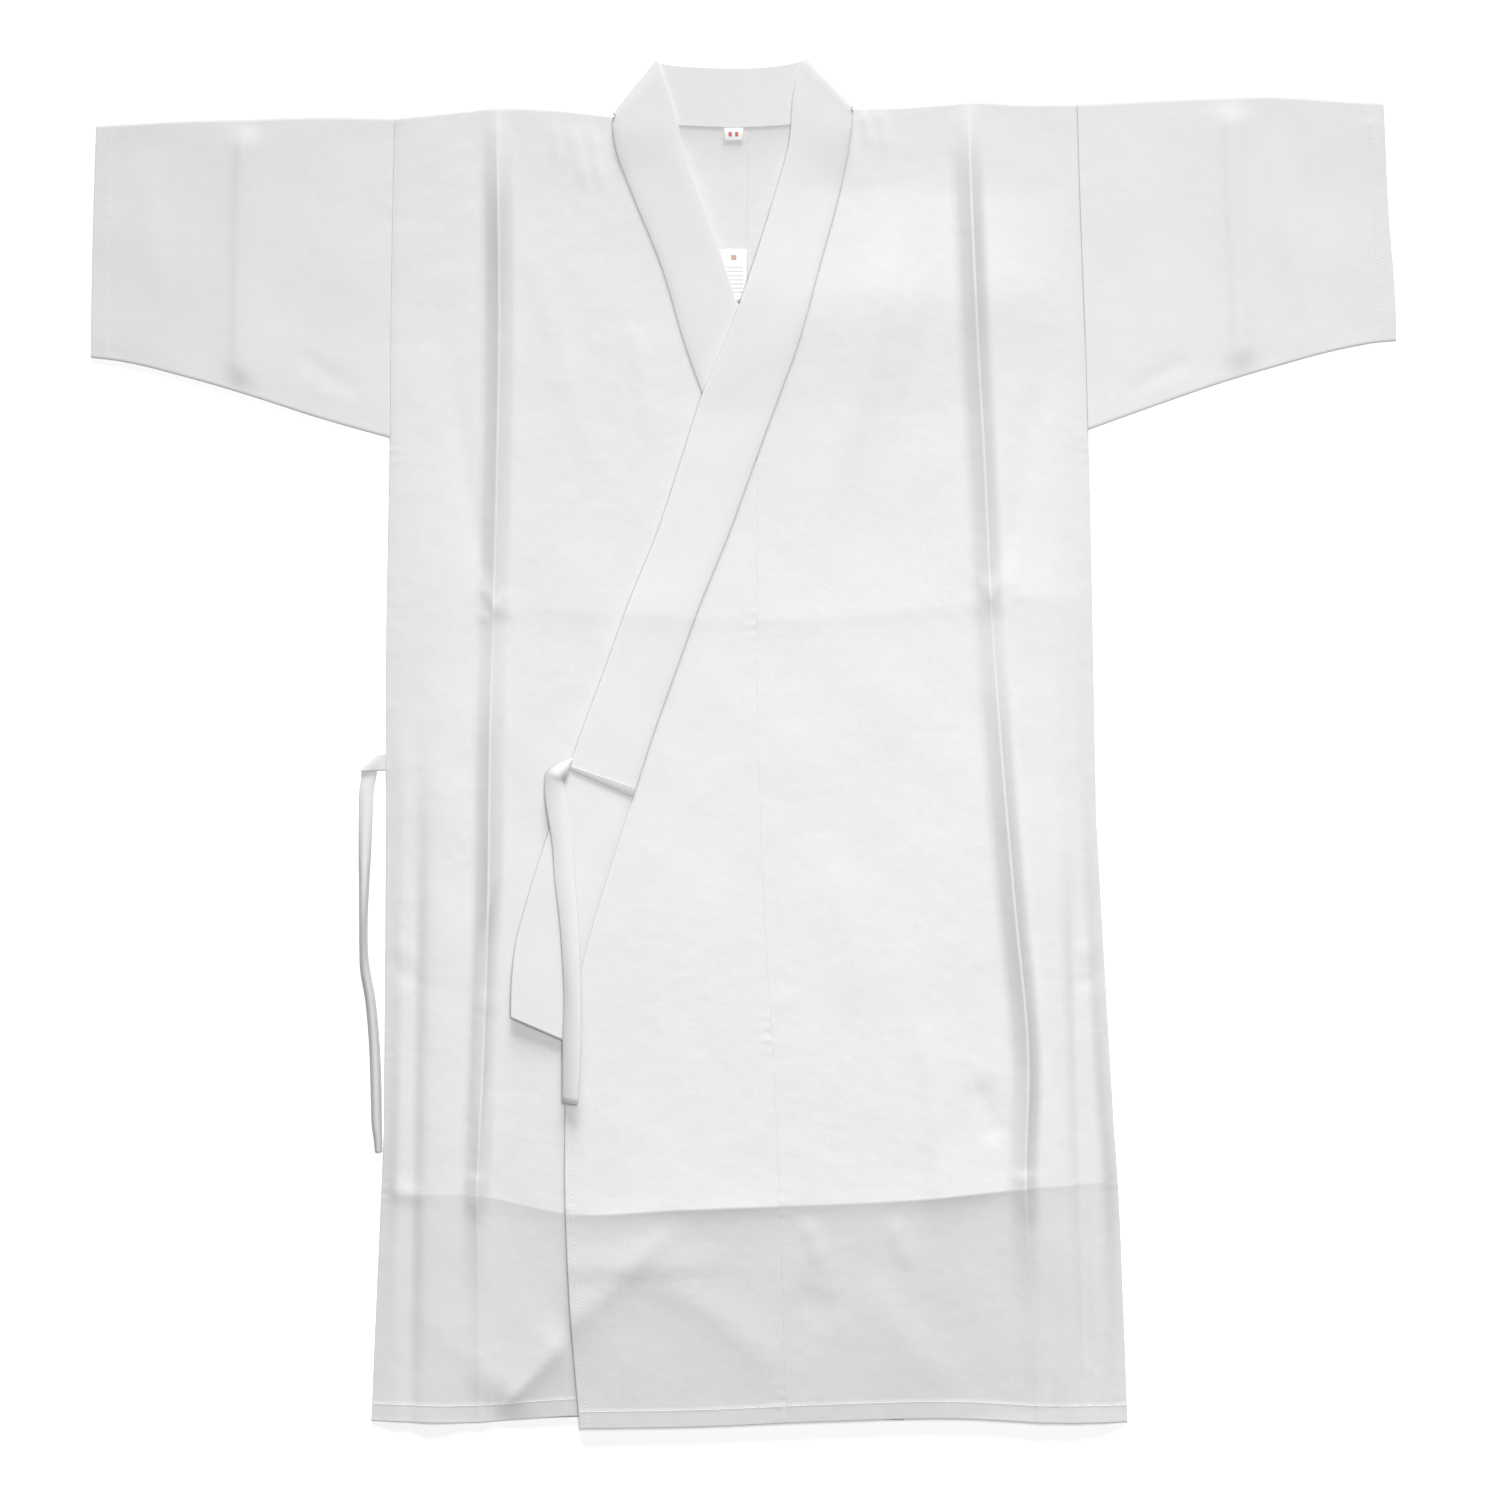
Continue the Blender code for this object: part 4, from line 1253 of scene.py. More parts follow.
def back_net(half: Half, shoulder_row: np.ndarray) -> np.ndarray:
    """Lay out the back of a body panel from the hem up to the shoulder, fanning out near the neck.

    Args:
        half: The half.
        shoulder_row: The front's first row, at the shoulder.

    Returns:
        The net.
    """
    x, y = shoulder_row[:, 0], shoulder_row[:, 1]
    outer, inner = (0, -1) if half.sign < 0 else (-1, 0)
    share = (x - x[outer]) / (x[inner] - x[outer])
    centre = CENTRE_BACK + half.sign * CLOTH.gap / 4
    ends = [(float(half.hem(x[outer])), centre, BACK_HEM)]
    ends += [(height, centre, height) for height in BACK_LEVELS]
    for drop, part in NECK_FAN:
        neck_x = centre + part * (x[inner] - centre)
        ends.append((y[outer] - drop, neck_x, float(back_neck(neck_x)) - CLOTH.gap))
    rows = []
    for side_y, inner_x, inner_y in ends:
        side_x = float(half.side(side_y))
        row_x = side_x + share * (inner_x - side_x)
        rows.append(with_height(row_x, side_y + share * (inner_y - side_y), 0))
    rows.append(with_height(x, y, 0))
    coarse = np.stack(rows)
    finer = np.linspace(0, len(coarse) - 1, 8 * (len(coarse) - 1) + 1)
    whole = np.clip(finer.astype(int), 0, len(coarse) - 2)
    part = (finer - whole)[:, None, None]
    net = coarse[whole] * (1 - part) + coarse[whole + 1] * part
    px, py = net[..., 0], net[..., 1]
    edge = smooth_step(np.abs(px - centre) / 20) * smooth_step((470 - py) / 25)
    net[..., 2] = CLOTH.middle + np.maximum(soft_folds(px, py, BACK_FOLDS), 0) * edge + back_rise(px, py)
    return net


def folded_band(net: np.ndarray, first: int, seed: int) -> None:
    """Raise the folded hem at the end of a net by its step, and pucker the cloth beside its stitches.

    Args:
        net: The net, changed in place.
        first: The number of its row on the hem's upper fold.
        seed: Seed of the puckers.
    """
    y = net[..., 1]
    distance = y - y[first]
    net[first:, :, 2] += CLOTH.hem_step * smooth_step(-distance[first:] / BAND_STEP_LENGTH)
    fade = smooth_step((BAND_PUCKER_ENDS - np.abs(distance)) / BAND_PUCKER_ENDS)
    net[..., 2] += puckers(net[..., 0], distance, seed) * fade


def edge_puckers(net: np.ndarray, last: bool, seed: int, size: float = 1.0) -> None:
    """Pucker a net beside the seam along its first or last column.

    Args:
        net: The net, changed in place.
        last: Whether the seam is at the last column.
        seed: Seed of the puckers.
        size: Share of the usual height.
    """
    across = lengths_along(net, 1)
    distance = across[:, -1:] - across if last else across
    along = np.broadcast_to(lengths_along(net, 0)[:, -1 if last else 0][:, None], distance.shape)
    fade = smooth_step((PUCKER_ENDS - distance) / PUCKER_ENDS)
    net[..., 2] += size * puckers(along, distance, seed) * fade


class Body:
    """One body panel: its back and its front in one length, folded over the shoulder."""

    def __init__(self, half: Half) -> None:
        """Lay out the panel.

        Args:
            half: The half of the garment.
        """
        seam = beside(half.seam, half.sign * CLOTH.gap / 4)
        edge = joined(beside(half.neckline, half.sign * CLOTH.gap / 6), seam, BREAST)
        rows, places = front_rows(half)
        x, y = crossings(rows, front_columns(half, edge))
        front = with_height(x, y, half.height(x, y))
        folded_band(front, places["band"], 3 if half.sign > 0 else 4)
        low = front[places["breast"] + 1 :]
        edge_puckers(low, half.sign < 0, 5, 0.7)
        edge_puckers(front, half.sign > 0, 6, 0.6)
        back = back_net(half, front[0])
        fold = turn(back[-1], front[0], np.array((0.0, 1.0, 0.0)))
        self.start = len(back) + len(fold)
        self.band = self.start + places["band"]
        self.panel = Panel(half.name + "_body", np.concatenate([back, fold, front]), CLOTH.thickness)

    def stitch(self, rows: Stitches) -> None:
        """Stitch the hem just below its upper fold, on the front.

        Args:
            rows: Where the stitches go.
        """
        face, up = self.panel.face, normals(self.panel.net)
        row = self.band + 2
        rows.add(face[row], up[row])


class Overlap:
    """The long wedge sewn to a front, from its point at the breast to the hem."""

    def __init__(self, half: Half) -> None:
        """Lay out the panel.

        Args:
            half: The half of the garment.
        """
        rows, places = front_rows(half)
        start = places["breast"] + 3
        seam = beside(half.seam, -half.sign * CLOTH.gap / 4)
        shares = np.concatenate([[0, 0.006], np.linspace(0.035, 0.965, OVERLAP_STEPS - 4), [0.994, 1]])
        columns = [between(half.overlap, seam, share) for share in shares]
        x, y = crossings(rows[start:], columns[:: half.sign])
        net = with_height(x, y, half.height(x, y))
        self.band = places["band"] - start
        folded_band(net, self.band, 3 if half.sign > 0 else 4)
        edge_puckers(net, half.sign > 0, 7, 0.7)
        self.edge = 0 if half.sign > 0 else -1
        low = net[places["collar_end"] - start :]
        edge_puckers(low, half.sign < 0, 8, 0.5)
        self.panel = Panel(half.name + "_okumi", net, CLOTH.thickness)
        self.end = places["collar_end"] - start

    def stitch(self, rows: Stitches) -> None:
        """Stitch the hem, and the folded front edge below the collar's end.

        Args:
            rows: Where the stitches go.
        """
        face, up = self.panel.face, normals(self.panel.net)
        rows.add(face[self.band + 2], up[self.band + 2])
        inner = 2 if self.edge == 0 else -3
        rows.add(face[self.end :, inner], up[self.end :, inner])


class Collar:
    """The collar strip and the shorter strip laid on it, both folded under themselves at the shoulders."""

    def __init__(self) -> None:
        """Lay out both strips."""
        net = np.concatenate(
            [
                self.side(LEFT)[::-1],
                self.fold(LEFT_NECK_FOLD),
                self.behind_neck(),
                self.fold(RIGHT_NECK_FOLD)[::-1],
                self.side(RIGHT),
            ]
        )
        self.collar = Panel("collar", net, CLOTH.collar)
        over = net + normals(net) * (CLOTH.collar / 2 + CLOTH.gap + CLOTH.over_collar / 2)
        covered = np.flatnonzero(net[:, 0, 1] > OVER_COLLAR_END.seam_y)
        over = over[covered[0] - 1 : covered[-1] + 2]
        over[0] = self.end_row(over[0], over[1])
        over[-1] = self.end_row(over[-1], over[-2])
        self.over = Panel("over_collar", over, CLOTH.over_collar)

    def side(self, half: Half) -> np.ndarray:
        """Lay the strip along one front, from the neck down to its end.

        Args:
            half: The half of the garment.

        Returns:
            The net.
        """
        rows, places = front_rows(half)
        _, y = crossings(rows[4 : places["collar_end"] + 1], [half.strip_seam])
        seam_y = y[:, 0]
        free_y = station_free(seam_y)
        shares = STRIP_SHARES
        seam_x = half.strip_seam(seam_y)
        x = seam_x[:, None] + shares * (half.strip_free(free_y) - seam_x)[:, None]
        y = seam_y[:, None] + shares * (free_y - seam_y)[:, None]
        seam_rest, free_rest = (rest(f"{half.name}_{edge}", y) for edge in ("seam", "free"))
        z = seam_rest + shares * (free_rest - seam_rest)
        if half.sign > 0:
            curl = CURL_HEIGHT * np.clip((CURL_TOP - y) / CURL_LENGTH, 0, 1) ** 2 * shares**2
            z = z + half.relief(x, y) + curl
        else:
            z = z + tent(x, y)
        z = z + swell(x, y, STRIP_WAVES) * np.sin(np.pi * shares)
        across = shares * np.hypot(x[:, -1] - x[:, 0], y[:, -1] - y[:, 0])[:, None]
        seam_roll = STRIP_ROLL * np.exp(-across / STRIP_ROLL_REACH)
        free_roll = STRIP_ROLL / 2 * np.exp(-(across[:, -1:] - across) / STRIP_ROLL_REACH)
        return with_height(x, y, z - seam_roll - free_roll + CLOTH.collar / 2)

    @staticmethod
    def fold(fold: Fold) -> np.ndarray:
        """Turn the strip under itself along a slanting line.

        Args:
            fold: Ends of the line.

        Returns:
            Rows from the upper side to the lower one.
        """
        low = CLOTH.layer + CLOTH.collar / 2
        high = low + CLOTH.collar + CLOTH.gap
        cover = CLOTH.collar / 2 + CLOTH.gap + CLOTH.over_collar
        return slanting_fold(fold, STRIP_SHARES, high, low, cover)

    @staticmethod
    def behind_neck() -> np.ndarray:
        """Lay the strip behind the neck, from the wearer's left to right.

        Returns:
            The net.
        """
        seam_x, free_x = np.array(NECK_STATIONS, float).T
        steps = np.linspace(0, len(seam_x) - 1, 8 * (len(seam_x) - 1) + 1)
        seam_x = np.interp(steps, np.arange(len(seam_x)), seam_x)
        free_x = np.interp(steps, np.arange(len(free_x)), free_x)
        shares = STRIP_SHARES
        seam_y = back_neck(seam_x)
        x = seam_x[:, None] + shares * (free_x - seam_x)[:, None]
        y = seam_y[:, None] + shares * (collar_top(free_x) - STRIP_INSET - seam_y)[:, None]
        return with_height(x, y, CLOTH.layer + CLOTH.collar / 2)

    @staticmethod
    def end_row(row: np.ndarray, after: np.ndarray) -> np.ndarray:
        """Slide a row of the strip along it onto the over-collar's stitched end.

        Args:
            row: The row to slide.
            after: The next row.

        Returns:
            The row on the end.
        """
        shares = STRIP_SHARES
        end = OVER_COLLAR_END.seam_y + shares * (OVER_COLLAR_END.free_y - OVER_COLLAR_END.seam_y)
        return row + ((end - row[:, 1]) / (after[:, 1] - row[:, 1]))[:, None] * (after - row)

    def stitch(self, rows: Stitches) -> None:
        """Stitch the strips' lower ends across.

        Args:
            rows: Where the stitches go.
        """
        face, up = self.over.face, normals(self.over.net)
        rows.add(face[1, 1:-1], up[1, 1:-1])
        low, low_up = self.collar.face, normals(self.collar.net)
        rows.add(low[1, 1:-1], low_up[1, 1:-1])


def slanting_fold(fold: Fold, shares: np.ndarray, high: float, low: float, cover: float) -> np.ndarray:
    """Turn a strip under itself along a slanting line whose ends lie on the outline.

    Args:
        fold: Ends of the line.
        shares: Places across the strip.
        high: Height of its upper side.
        low: Height of its lower side.
        cover: How far what lies round the fold reaches beyond the net.

    Returns:
        Rows from the upper side to the lower one.
    """
    first, last = np.array(fold.seam_end), np.array(fold.free_end)
    way = (last - first) / np.linalg.norm(last - first)
    outward = np.array((-way[1], way[0])) * np.sign(way[0])
    place = first - outward * ((high - low) / 2 + cover) + shares[:, None] * (last - first)
    upper = with_height(place[:, 0], place[:, 1], high)
    lower = with_height(place[:, 0], place[:, 1], low)
    return np.concatenate([upper[None], turn(lower, upper, np.append(outward, 0.0), 5)[::-1], lower[None]])


class Sleeve:
    """A sleeve pressed flat: a tube with its back on the floor and its front one layer up."""

    def __init__(self, name: str, table: Sequence[Tube], cuff: Line, armhole: Line, to_right: bool,
                 folds: Sequence[Soft]) -> None:
        """Lay out the tube.

        Args:
            name: Name of the piece.
            table: Its upper and lower edge.
            cuff: Its outer end.
            armhole: Its end at the body.
            to_right: Whether X rises from the cuff to the armhole.
            folds: Its soft folds.
        """
        top = beside(column(table, "top"), -TURN_INSET)
        bottom = beside(column(table, "bottom"), TURN_INSET)
        sign = 1 if to_right else -1
        band = beside(cuff, sign * CLOTH.cuff_band)
        shares = np.concatenate([[0, 0.008], crowded(SLEEVE_LINES, 0.2)[1:], [0.992, 1]])
        columns = [cuff, beside(cuff, sign * EDGE_OFFSET)]
        columns += [between(beside(cuff, sign * 1.5), band, share) for share in crowded(CUFF_LINES, 0.6)]
        last = beside(armhole, -sign * EDGE_OFFSET)
        columns += [between(band, last, share) for share in crowded(SLEEVE_COLUMNS, 0.5)]
        columns += [last, armhole]
        columns = columns if to_right else columns[::-1]
        x, y = crossings([between(top, bottom, share) for share in shares], columns)
        away = np.abs(x - cuff(y))
        width = np.abs(armhole(y) - cuff(y))
        across = shares[:, None]
        ridge = SLEEVE_CREASE_HEIGHT * np.exp(-np.abs(away - width / 2) / SLEEVE_CREASE_REACH)
        fade = smooth_step(np.minimum(across, 1 - across) / 0.1)
        uneven = soft_folds(x, y, folds) + swell(x, y, SLEEVE_WAVES)
        uneven += puckers(y, away - CLOTH.cuff_band, 9) + puckers(y, width - away, 10)
        step = CLOTH.hem_step * smooth_step((CLOTH.cuff_band - away) / 1.2)
        z = CLOTH.layer + CLOTH.middle + (ridge + uneven * 0.8) * fade + step * fade
        front = with_height(x, y, z)
        back = with_height(x, y, CLOTH.middle)[::-1]
        up = np.array((0.0, 1.0, 0.0))
        net = np.concatenate([front, turn(front[-1], back[0], -up), back, turn(back[-1], front[0], up)])
        self.front = len(front)
        self.cuff = 8 if to_right else len(columns) - 9
        self.panel = Panel(name, net, CLOTH.thickness, tube=True)

    def stitch(self, rows: Stitches) -> None:
        """Stitch round the cuff.

        Args:
            rows: Where the stitches go.
        """
        face, up = self.panel.face, normals(self.panel.net, True)
        rows.add(face[2 : self.front - 2, self.cuff], up[2 : self.front - 2, self.cuff])


class Tie:
    """A narrow tie: a folded strip through its sections."""

    COLUMNS = np.array((0.0, 0.06, 0.2, 0.4, 0.6, 0.8, 0.94, 1.0))

    @classmethod
    def strip(cls, sections: Sequence[Section], height: Callable[..., np.ndarray]) -> np.ndarray:
        """Lay a strip through sections: the middle stands by lift * s + arch * 4 * s * (1 - s).

        Args:
            sections: The sections.
            height: Height of the strip's middle at rest, at x and y.

        Returns:
            The net.
        """
        table = np.array(sections, float)
        steps = np.arange(len(table))
        places = np.linspace(0, len(table) - 1, (len(table) - 1) * 10 + 1)
        values = [smooth_line(list(zip(steps, part)))(places)[:, None] for part in table.T]
        first_x, first_y, last_x, last_y, lift, arch = values
        s = cls.COLUMNS
        x, y = first_x + s * (last_x - first_x), first_y + s * (last_y - first_y)
        return with_height(x, y, height(x, y) + lift * s + arch * 4 * s * (1 - s))

    @classmethod
    def front(cls) -> Panel:
        """Lay the tie at the over-collar's end, on the collar and the overlap.

        Returns:
            The panel.
        """

        def on_collar(x: np.ndarray, y: np.ndarray) -> np.ndarray:
            curl = TIE_CURL * np.clip((CURL_TOP - y) / CURL_LENGTH, 0, 1)
            lift = rest("left_seam", y) + LEFT.relief(x, y) + CLOTH.collar
            return lift + curl + CLOTH.gap + CLOTH.tie / 2

        return Panel("front_tie", cls.strip(FRONT_TIE, on_collar), CLOTH.tie)

    @classmethod
    def side(cls) -> Panel:
        """Lay the tie that comes out of the right side seam and folds under itself.

        Returns:
            The panel.
        """
        low = CLOTH.tie / 2
        high = low + CLOTH.tie + CLOTH.gap
        root = cls.strip(SIDE_TIE_ROOT, lambda x, y: np.full_like(x, high))
        fold = slanting_fold(SIDE_TIE_FOLD, cls.COLUMNS, high, low, low)
        fall = cls.strip(SIDE_TIE, lambda x, y: np.full_like(x, low))
        return Panel("side_tie", np.concatenate([root, fold, fall]), CLOTH.tie)


def label_panel(name: str, edges: Sequence[float]) -> Panel:
    """Lay a label on the inside of the back, bulging a little between its stitched ends.

    Args:
        name: Name of the piece.
        edges: Its left, right, bottom and top edge.

    Returns:
        The panel.
    """
    left, right, bottom, top = edges
    x, y = np.meshgrid(np.linspace(left, right, 9), np.linspace(top, bottom, 17))
    bulge = 0.5 * np.sin(np.pi * (y - bottom) / (top - bottom))
    return Panel(name, with_height(x, y, CLOTH.layer + CLOTH.middle + bulge + back_rise(x, y)), 0.35)


@dataclass(frozen=True)
class CottonFinish:
    """Look of a cotton cloth: two tones, weave, crumple and shade painted on steep cloth. Lengths are in
    metres.
    """

    name: str
    light: tuple[float, float, float] = (0.735, 0.735, 0.735)
    dark: tuple[float, float, float] = (0.71, 0.71, 0.71)
    roughness: float = 0.92
    pitch: float = 0.00055
    weave: float = 0.00006
    crumple: float = 0.0006
    sheen: float = 0.12
    # Tone kept where the painted shade is full: steep flanks and rims are painted this much darker.
    painted_shade_tone: float = 0.65


@dataclass(frozen=True)
class TapeFinish:
    """Look of a label's satin tape with its bare marks. Lengths are in metres."""

    name: str
    base: tuple[float, float, float]
    mark: tuple[float, float, float]
    marks: tuple[tuple[float, float, float, float], ...]
    lines: float
    lines_from: float
    lines_area: tuple[float, float, float] = (0.003, 0.014, 0.024)
    line: tuple[float, float, float] = (0.35, 0.36, 0.38)
    roughness: float = 0.45
    pitch: float = 0.0004


BODY_COTTON = CottonFinish("body_cotton")
SLEEVE_COTTON = CottonFinish("sleeve_cotton", crumple=0.0004)
COLLAR_COTTON = CottonFinish("collar_cotton", light=(0.74, 0.74, 0.74), pitch=0.0005, crumple=0.0003)
TIE_COTTON = CottonFinish("tie_cotton", light=(0.74, 0.74, 0.74), pitch=0.0005, crumple=0.0002)
THREAD_COTTON = CottonFinish("thread", light=(0.86, 0.86, 0.86), pitch=0.0003, weave=0.00003, crumple=0.0)
SIZE_TAPE = TapeFinish(
    "size_tape", (0.88, 0.88, 0.88), (0.62, 0.10, 0.10),
    ((0.0035, 0.0030, 0.0025, 0.0035), (0.0085, 0.0030, 0.0025, 0.0035)), 0.0, 0.0,
)
CARE_TAPE = TapeFinish(
    "care_tape", (0.88, 0.88, 0.88), (0.55, 0.35, 0.30),
    ((0.0080, 0.0040, 0.0040, 0.0040),), 0.0032, 0.012,
)


class Tree:
    """A node tree in the making."""

    def __init__(self, tree: bpy.types.NodeTree) -> None:
        """Keep the tree.

        Args:
            tree: A material's or a group's tree.
        """
        self.tree = tree

    def node(self, kind: str, values: Values | None = None, **settings: object) -> bpy.types.Node:
        """Add a node.

        Args:
            kind: Its type.
            values: Values or sockets for its inputs, by name or number.
            settings: Its properties.

        Returns:
            The node.
        """
        made = self.tree.nodes.new(kind)
        for name, setting in settings.items():
            setattr(made, name, setting)
        for key, value in (values or {}).items():
            if isinstance(value, bpy.types.NodeSocket):
                self.tree.links.new(value, made.inputs[key])
            else:
                made.inputs[key].default_value = value
        return made

    def math(self, operation: str, *values: object) -> bpy.types.NodeSocket:
        """Add a calculation.

        Args:
            operation: Its name.
            values: Numbers or sockets.

        Returns:
            Its result.
        """
        return self.node("ShaderNodeMath", dict(enumerate(values)), operation=operation).outputs[0]

    def noise(self, vector: object, scale: float, detail: float = 2.0) -> bpy.types.NodeSocket:
        """Add a noise of values from 0 to 1.

        Args:
            vector: Where it is read.
            scale: Its features for each metre.
            detail: Its octaves.

        Returns:
            Its value.
        """
        values = {"Vector": vector, "Scale": scale, "Detail": detail}
        return self.node("ShaderNodeTexNoise", values).outputs["Fac"]

    def stretched(self, vector: object, scale: tuple[float, float, float]) -> bpy.types.NodeSocket:
        """Scale coordinates by a factor for each axis.

        Args:
            vector: The coordinates.
            scale: The factors.

        Returns:
            The scaled coordinates.
        """
        return self.node("ShaderNodeMapping", {"Vector": vector, "Scale": scale}).outputs[0]

    def mix(self, share: object, first: object, second: object) -> bpy.types.NodeSocket:
        """Mix two colours.

        Args:
            share: Share of the second.
            first: A colour or its socket.
            second: The same.

        Returns:
            The mixed colour.
        """
        return self.node("ShaderNodeMix", {0: share, 6: first, 7: second}, data_type="RGBA").outputs[2]

    def ranged(
        self, value: object, low: float, high: float, to_low: float, to_high: float
    ) -> bpy.types.NodeSocket:
        """Carry one range of values over to another.

        Args:
            value: What is carried over.
            low: Start of its range.
            high: End of its range.
            to_low: Start of the new range.
            to_high: End of the new range.

        Returns:
            The new value.
        """
        values = {0: value, 1: low, 2: high, 3: to_low, 4: to_high}
        return self.node("ShaderNodeMapRange", values).outputs[0]

    def group(self, shared: bpy.types.NodeTree, **values: object) -> bpy.types.Node:
        """Place a shared group.

        Args:
            shared: The group.
            values: Values or sockets for its inputs, by name.

        Returns:
            The node.
        """
        made = self.node("ShaderNodeGroup", node_tree=shared)
        for label, value in values.items():
            if isinstance(value, bpy.types.NodeSocket):
                self.tree.links.new(value, made.inputs[label])
            else:
                made.inputs[label].default_value = value
        return made


def new_group(
    name: str, inputs: dict[str, str], outputs: dict[str, str]
) -> tuple[Tree, dict[str, object], object]:
    """Start a shader node group.

    Args:
        name: Its name.
        inputs: Type of each input by name.
        outputs: Type of each output by name.

    Returns:
        The tree, the input sockets by name, and the node that takes the outputs.
    """
    group = bpy.data.node_groups.new(name, "ShaderNodeTree")
    for label, kind in inputs.items():
        group.interface.new_socket(label, in_out="INPUT", socket_type="NodeSocket" + kind)
    for label, kind in outputs.items():
        group.interface.new_socket(label, in_out="OUTPUT", socket_type="NodeSocket" + kind)
    start = group.nodes.new("NodeGroupInput")
    given = {label: start.outputs[label] for label in inputs}
    return Tree(group), given, group.nodes.new("NodeGroupOutput")


class Shading:
    """Shared node groups and the materials made with them."""

    def __init__(self) -> None:
        """Make the shared groups."""
        self.weave = self.weave_group()
        self.crumple = self.crumple_group()
        self.mottle = self.mottle_group()
        self.patch = self.patch_group()

    @staticmethod
    def weave_group() -> bpy.types.NodeTree:
        """Plain weave: the height is half of 1 + sin(u) * sin(v), uneven along each thread.

        Returns:
            The group, with outputs Height and Thread.
        """
        tree, given, end = new_group("Weave", {"Vector": "Vector", "Pitch": "Float"},
                                     {"Height": "Float", "Thread": "Float"})
        parts = tree.node("ShaderNodeSeparateXYZ", {0: given["Vector"]}).outputs
        turns = tree.math("DIVIDE", 2 * np.pi, given["Pitch"])
        waves = [tree.math("SINE", tree.math("MULTIPLY", parts[i], turns)) for i in (0, 1)]
        checks = tree.math("MULTIPLY_ADD", tree.math("MULTIPLY", *waves), 0.5, 0.5)
        warp = tree.noise(tree.stretched(given["Vector"], (1.0, 0.02, 1.0)), 1400.0, 1.0)
        weft = tree.noise(tree.stretched(given["Vector"], (0.02, 1.0, 1.0)), 1400.0, 1.0)
        thread = tree.math("MULTIPLY_ADD", tree.math("ADD", warp, weft), 0.5, 0.0)
        height = tree.math("MULTIPLY", checks, tree.math("ADD", thread, 0.4))
        tree.tree.links.new(height, end.inputs["Height"])
        tree.tree.links.new(thread, end.inputs["Thread"])
        return tree.tree

    @staticmethod
    def crumple_group() -> bpy.types.NodeTree:
        """Slight crumple of pressed cotton: two noises of 12 and 45 mm.

        Returns:
            The group, with output Height.
        """
        tree, given, end = new_group("Crumple", {"Vector": "Vector"}, {"Height": "Float"})
        fine = tree.noise(given["Vector"], 80.0, 3.0)
        broad = tree.noise(given["Vector"], 22.0, 2.0)
        height = tree.math("MULTIPLY_ADD", fine, 0.45, broad)
        tree.tree.links.new(height, end.inputs["Height"])
        return tree.tree

    @staticmethod
    def mottle_group() -> bpy.types.NodeTree:
        """Mix of two tones by a broad noise and by the threads.

        Returns:
            The group, with output Color.
        """
        given_types = {"Vector": "Vector", "Thread": "Float", "Light": "Color", "Dark": "Color"}
        tree, given, end = new_group("Mottle", given_types, {"Color": "Color"})
        broad = tree.noise(given["Vector"], 14.0, 3.0)
        share = tree.math("MULTIPLY_ADD", given["Thread"], 0.5, tree.math("MULTIPLY", broad, 0.5))
        mixed = tree.mix(tree.ranged(share, 0.35, 0.65, 0.0, 1.0), given["Light"], given["Dark"])
        tree.tree.links.new(mixed, end.inputs["Color"])
        return tree.tree

    @staticmethod
    def patch_group() -> bpy.types.NodeTree:
        """Mask of a rectangle: 1 inside its left, bottom, width and height.

        Returns:
            The group, with output Mask.
        """
        sizes = ("Left", "Bottom", "Width", "Height")
        given_types = {"Vector": "Vector", **dict.fromkeys(sizes, "Float")}
        tree, given, end = new_group("Patch", given_types, {"Mask": "Float"})
        parts = tree.node("ShaderNodeSeparateXYZ", {0: given["Vector"]}).outputs
        inside = []
        for part, low, size in ((parts[0], "Left", "Width"), (parts[1], "Bottom", "Height")):
            middle = tree.math("MULTIPLY_ADD", given[size], 0.5, given[low])
            away = tree.math("ABSOLUTE", tree.math("SUBTRACT", part, middle))
            inside.append(tree.math("LESS_THAN", away, tree.math("MULTIPLY", given[size], 0.5)))
        tree.tree.links.new(tree.math("MULTIPLY", *inside), end.inputs["Mask"])
        return tree.tree

    @staticmethod
    def start(name: str) -> tuple[bpy.types.Material, Tree, bpy.types.Node, bpy.types.NodeSocket]:
        """Start a material.

        Args:
            name: Its name.

        Returns:
            The material, its tree, its shader and the UV in metres.
        """
        material = bpy.data.materials.new(name)
        material.use_nodes = True
        tree = Tree(material.node_tree)
        shader = material.node_tree.nodes["Principled BSDF"]
        flat = tree.node("ShaderNodeUVMap", uv_map="UVMap").outputs[0]
        return material, tree, shader, flat

    def cotton(self, finish: CottonFinish) -> bpy.types.Material:
        """Make a cotton material: mottled tones with painted shade, plain weave and a slight crumple in its
        bump.

        Shade is painted into the tone: it is scaled down towards the finish's painted-shade tone as the
        piece's painted-shade share rises, so that steep pressed flanks and rims are painted darker.

        Args:
            finish: Its look.

        Returns:
            The material.
        """
        material, tree, shader, flat = self.start(finish.name)
        place = tree.node("ShaderNodeTexCoord").outputs["Object"]
        weave = tree.group(self.weave, Vector=flat, Pitch=finish.pitch)
        crumple = tree.group(self.crumple, Vector=place)
        mottle = tree.group(
            self.mottle, Vector=place, Thread=weave.outputs["Thread"],
            Light=(*finish.light, 1), Dark=(*finish.dark, 1),
        )
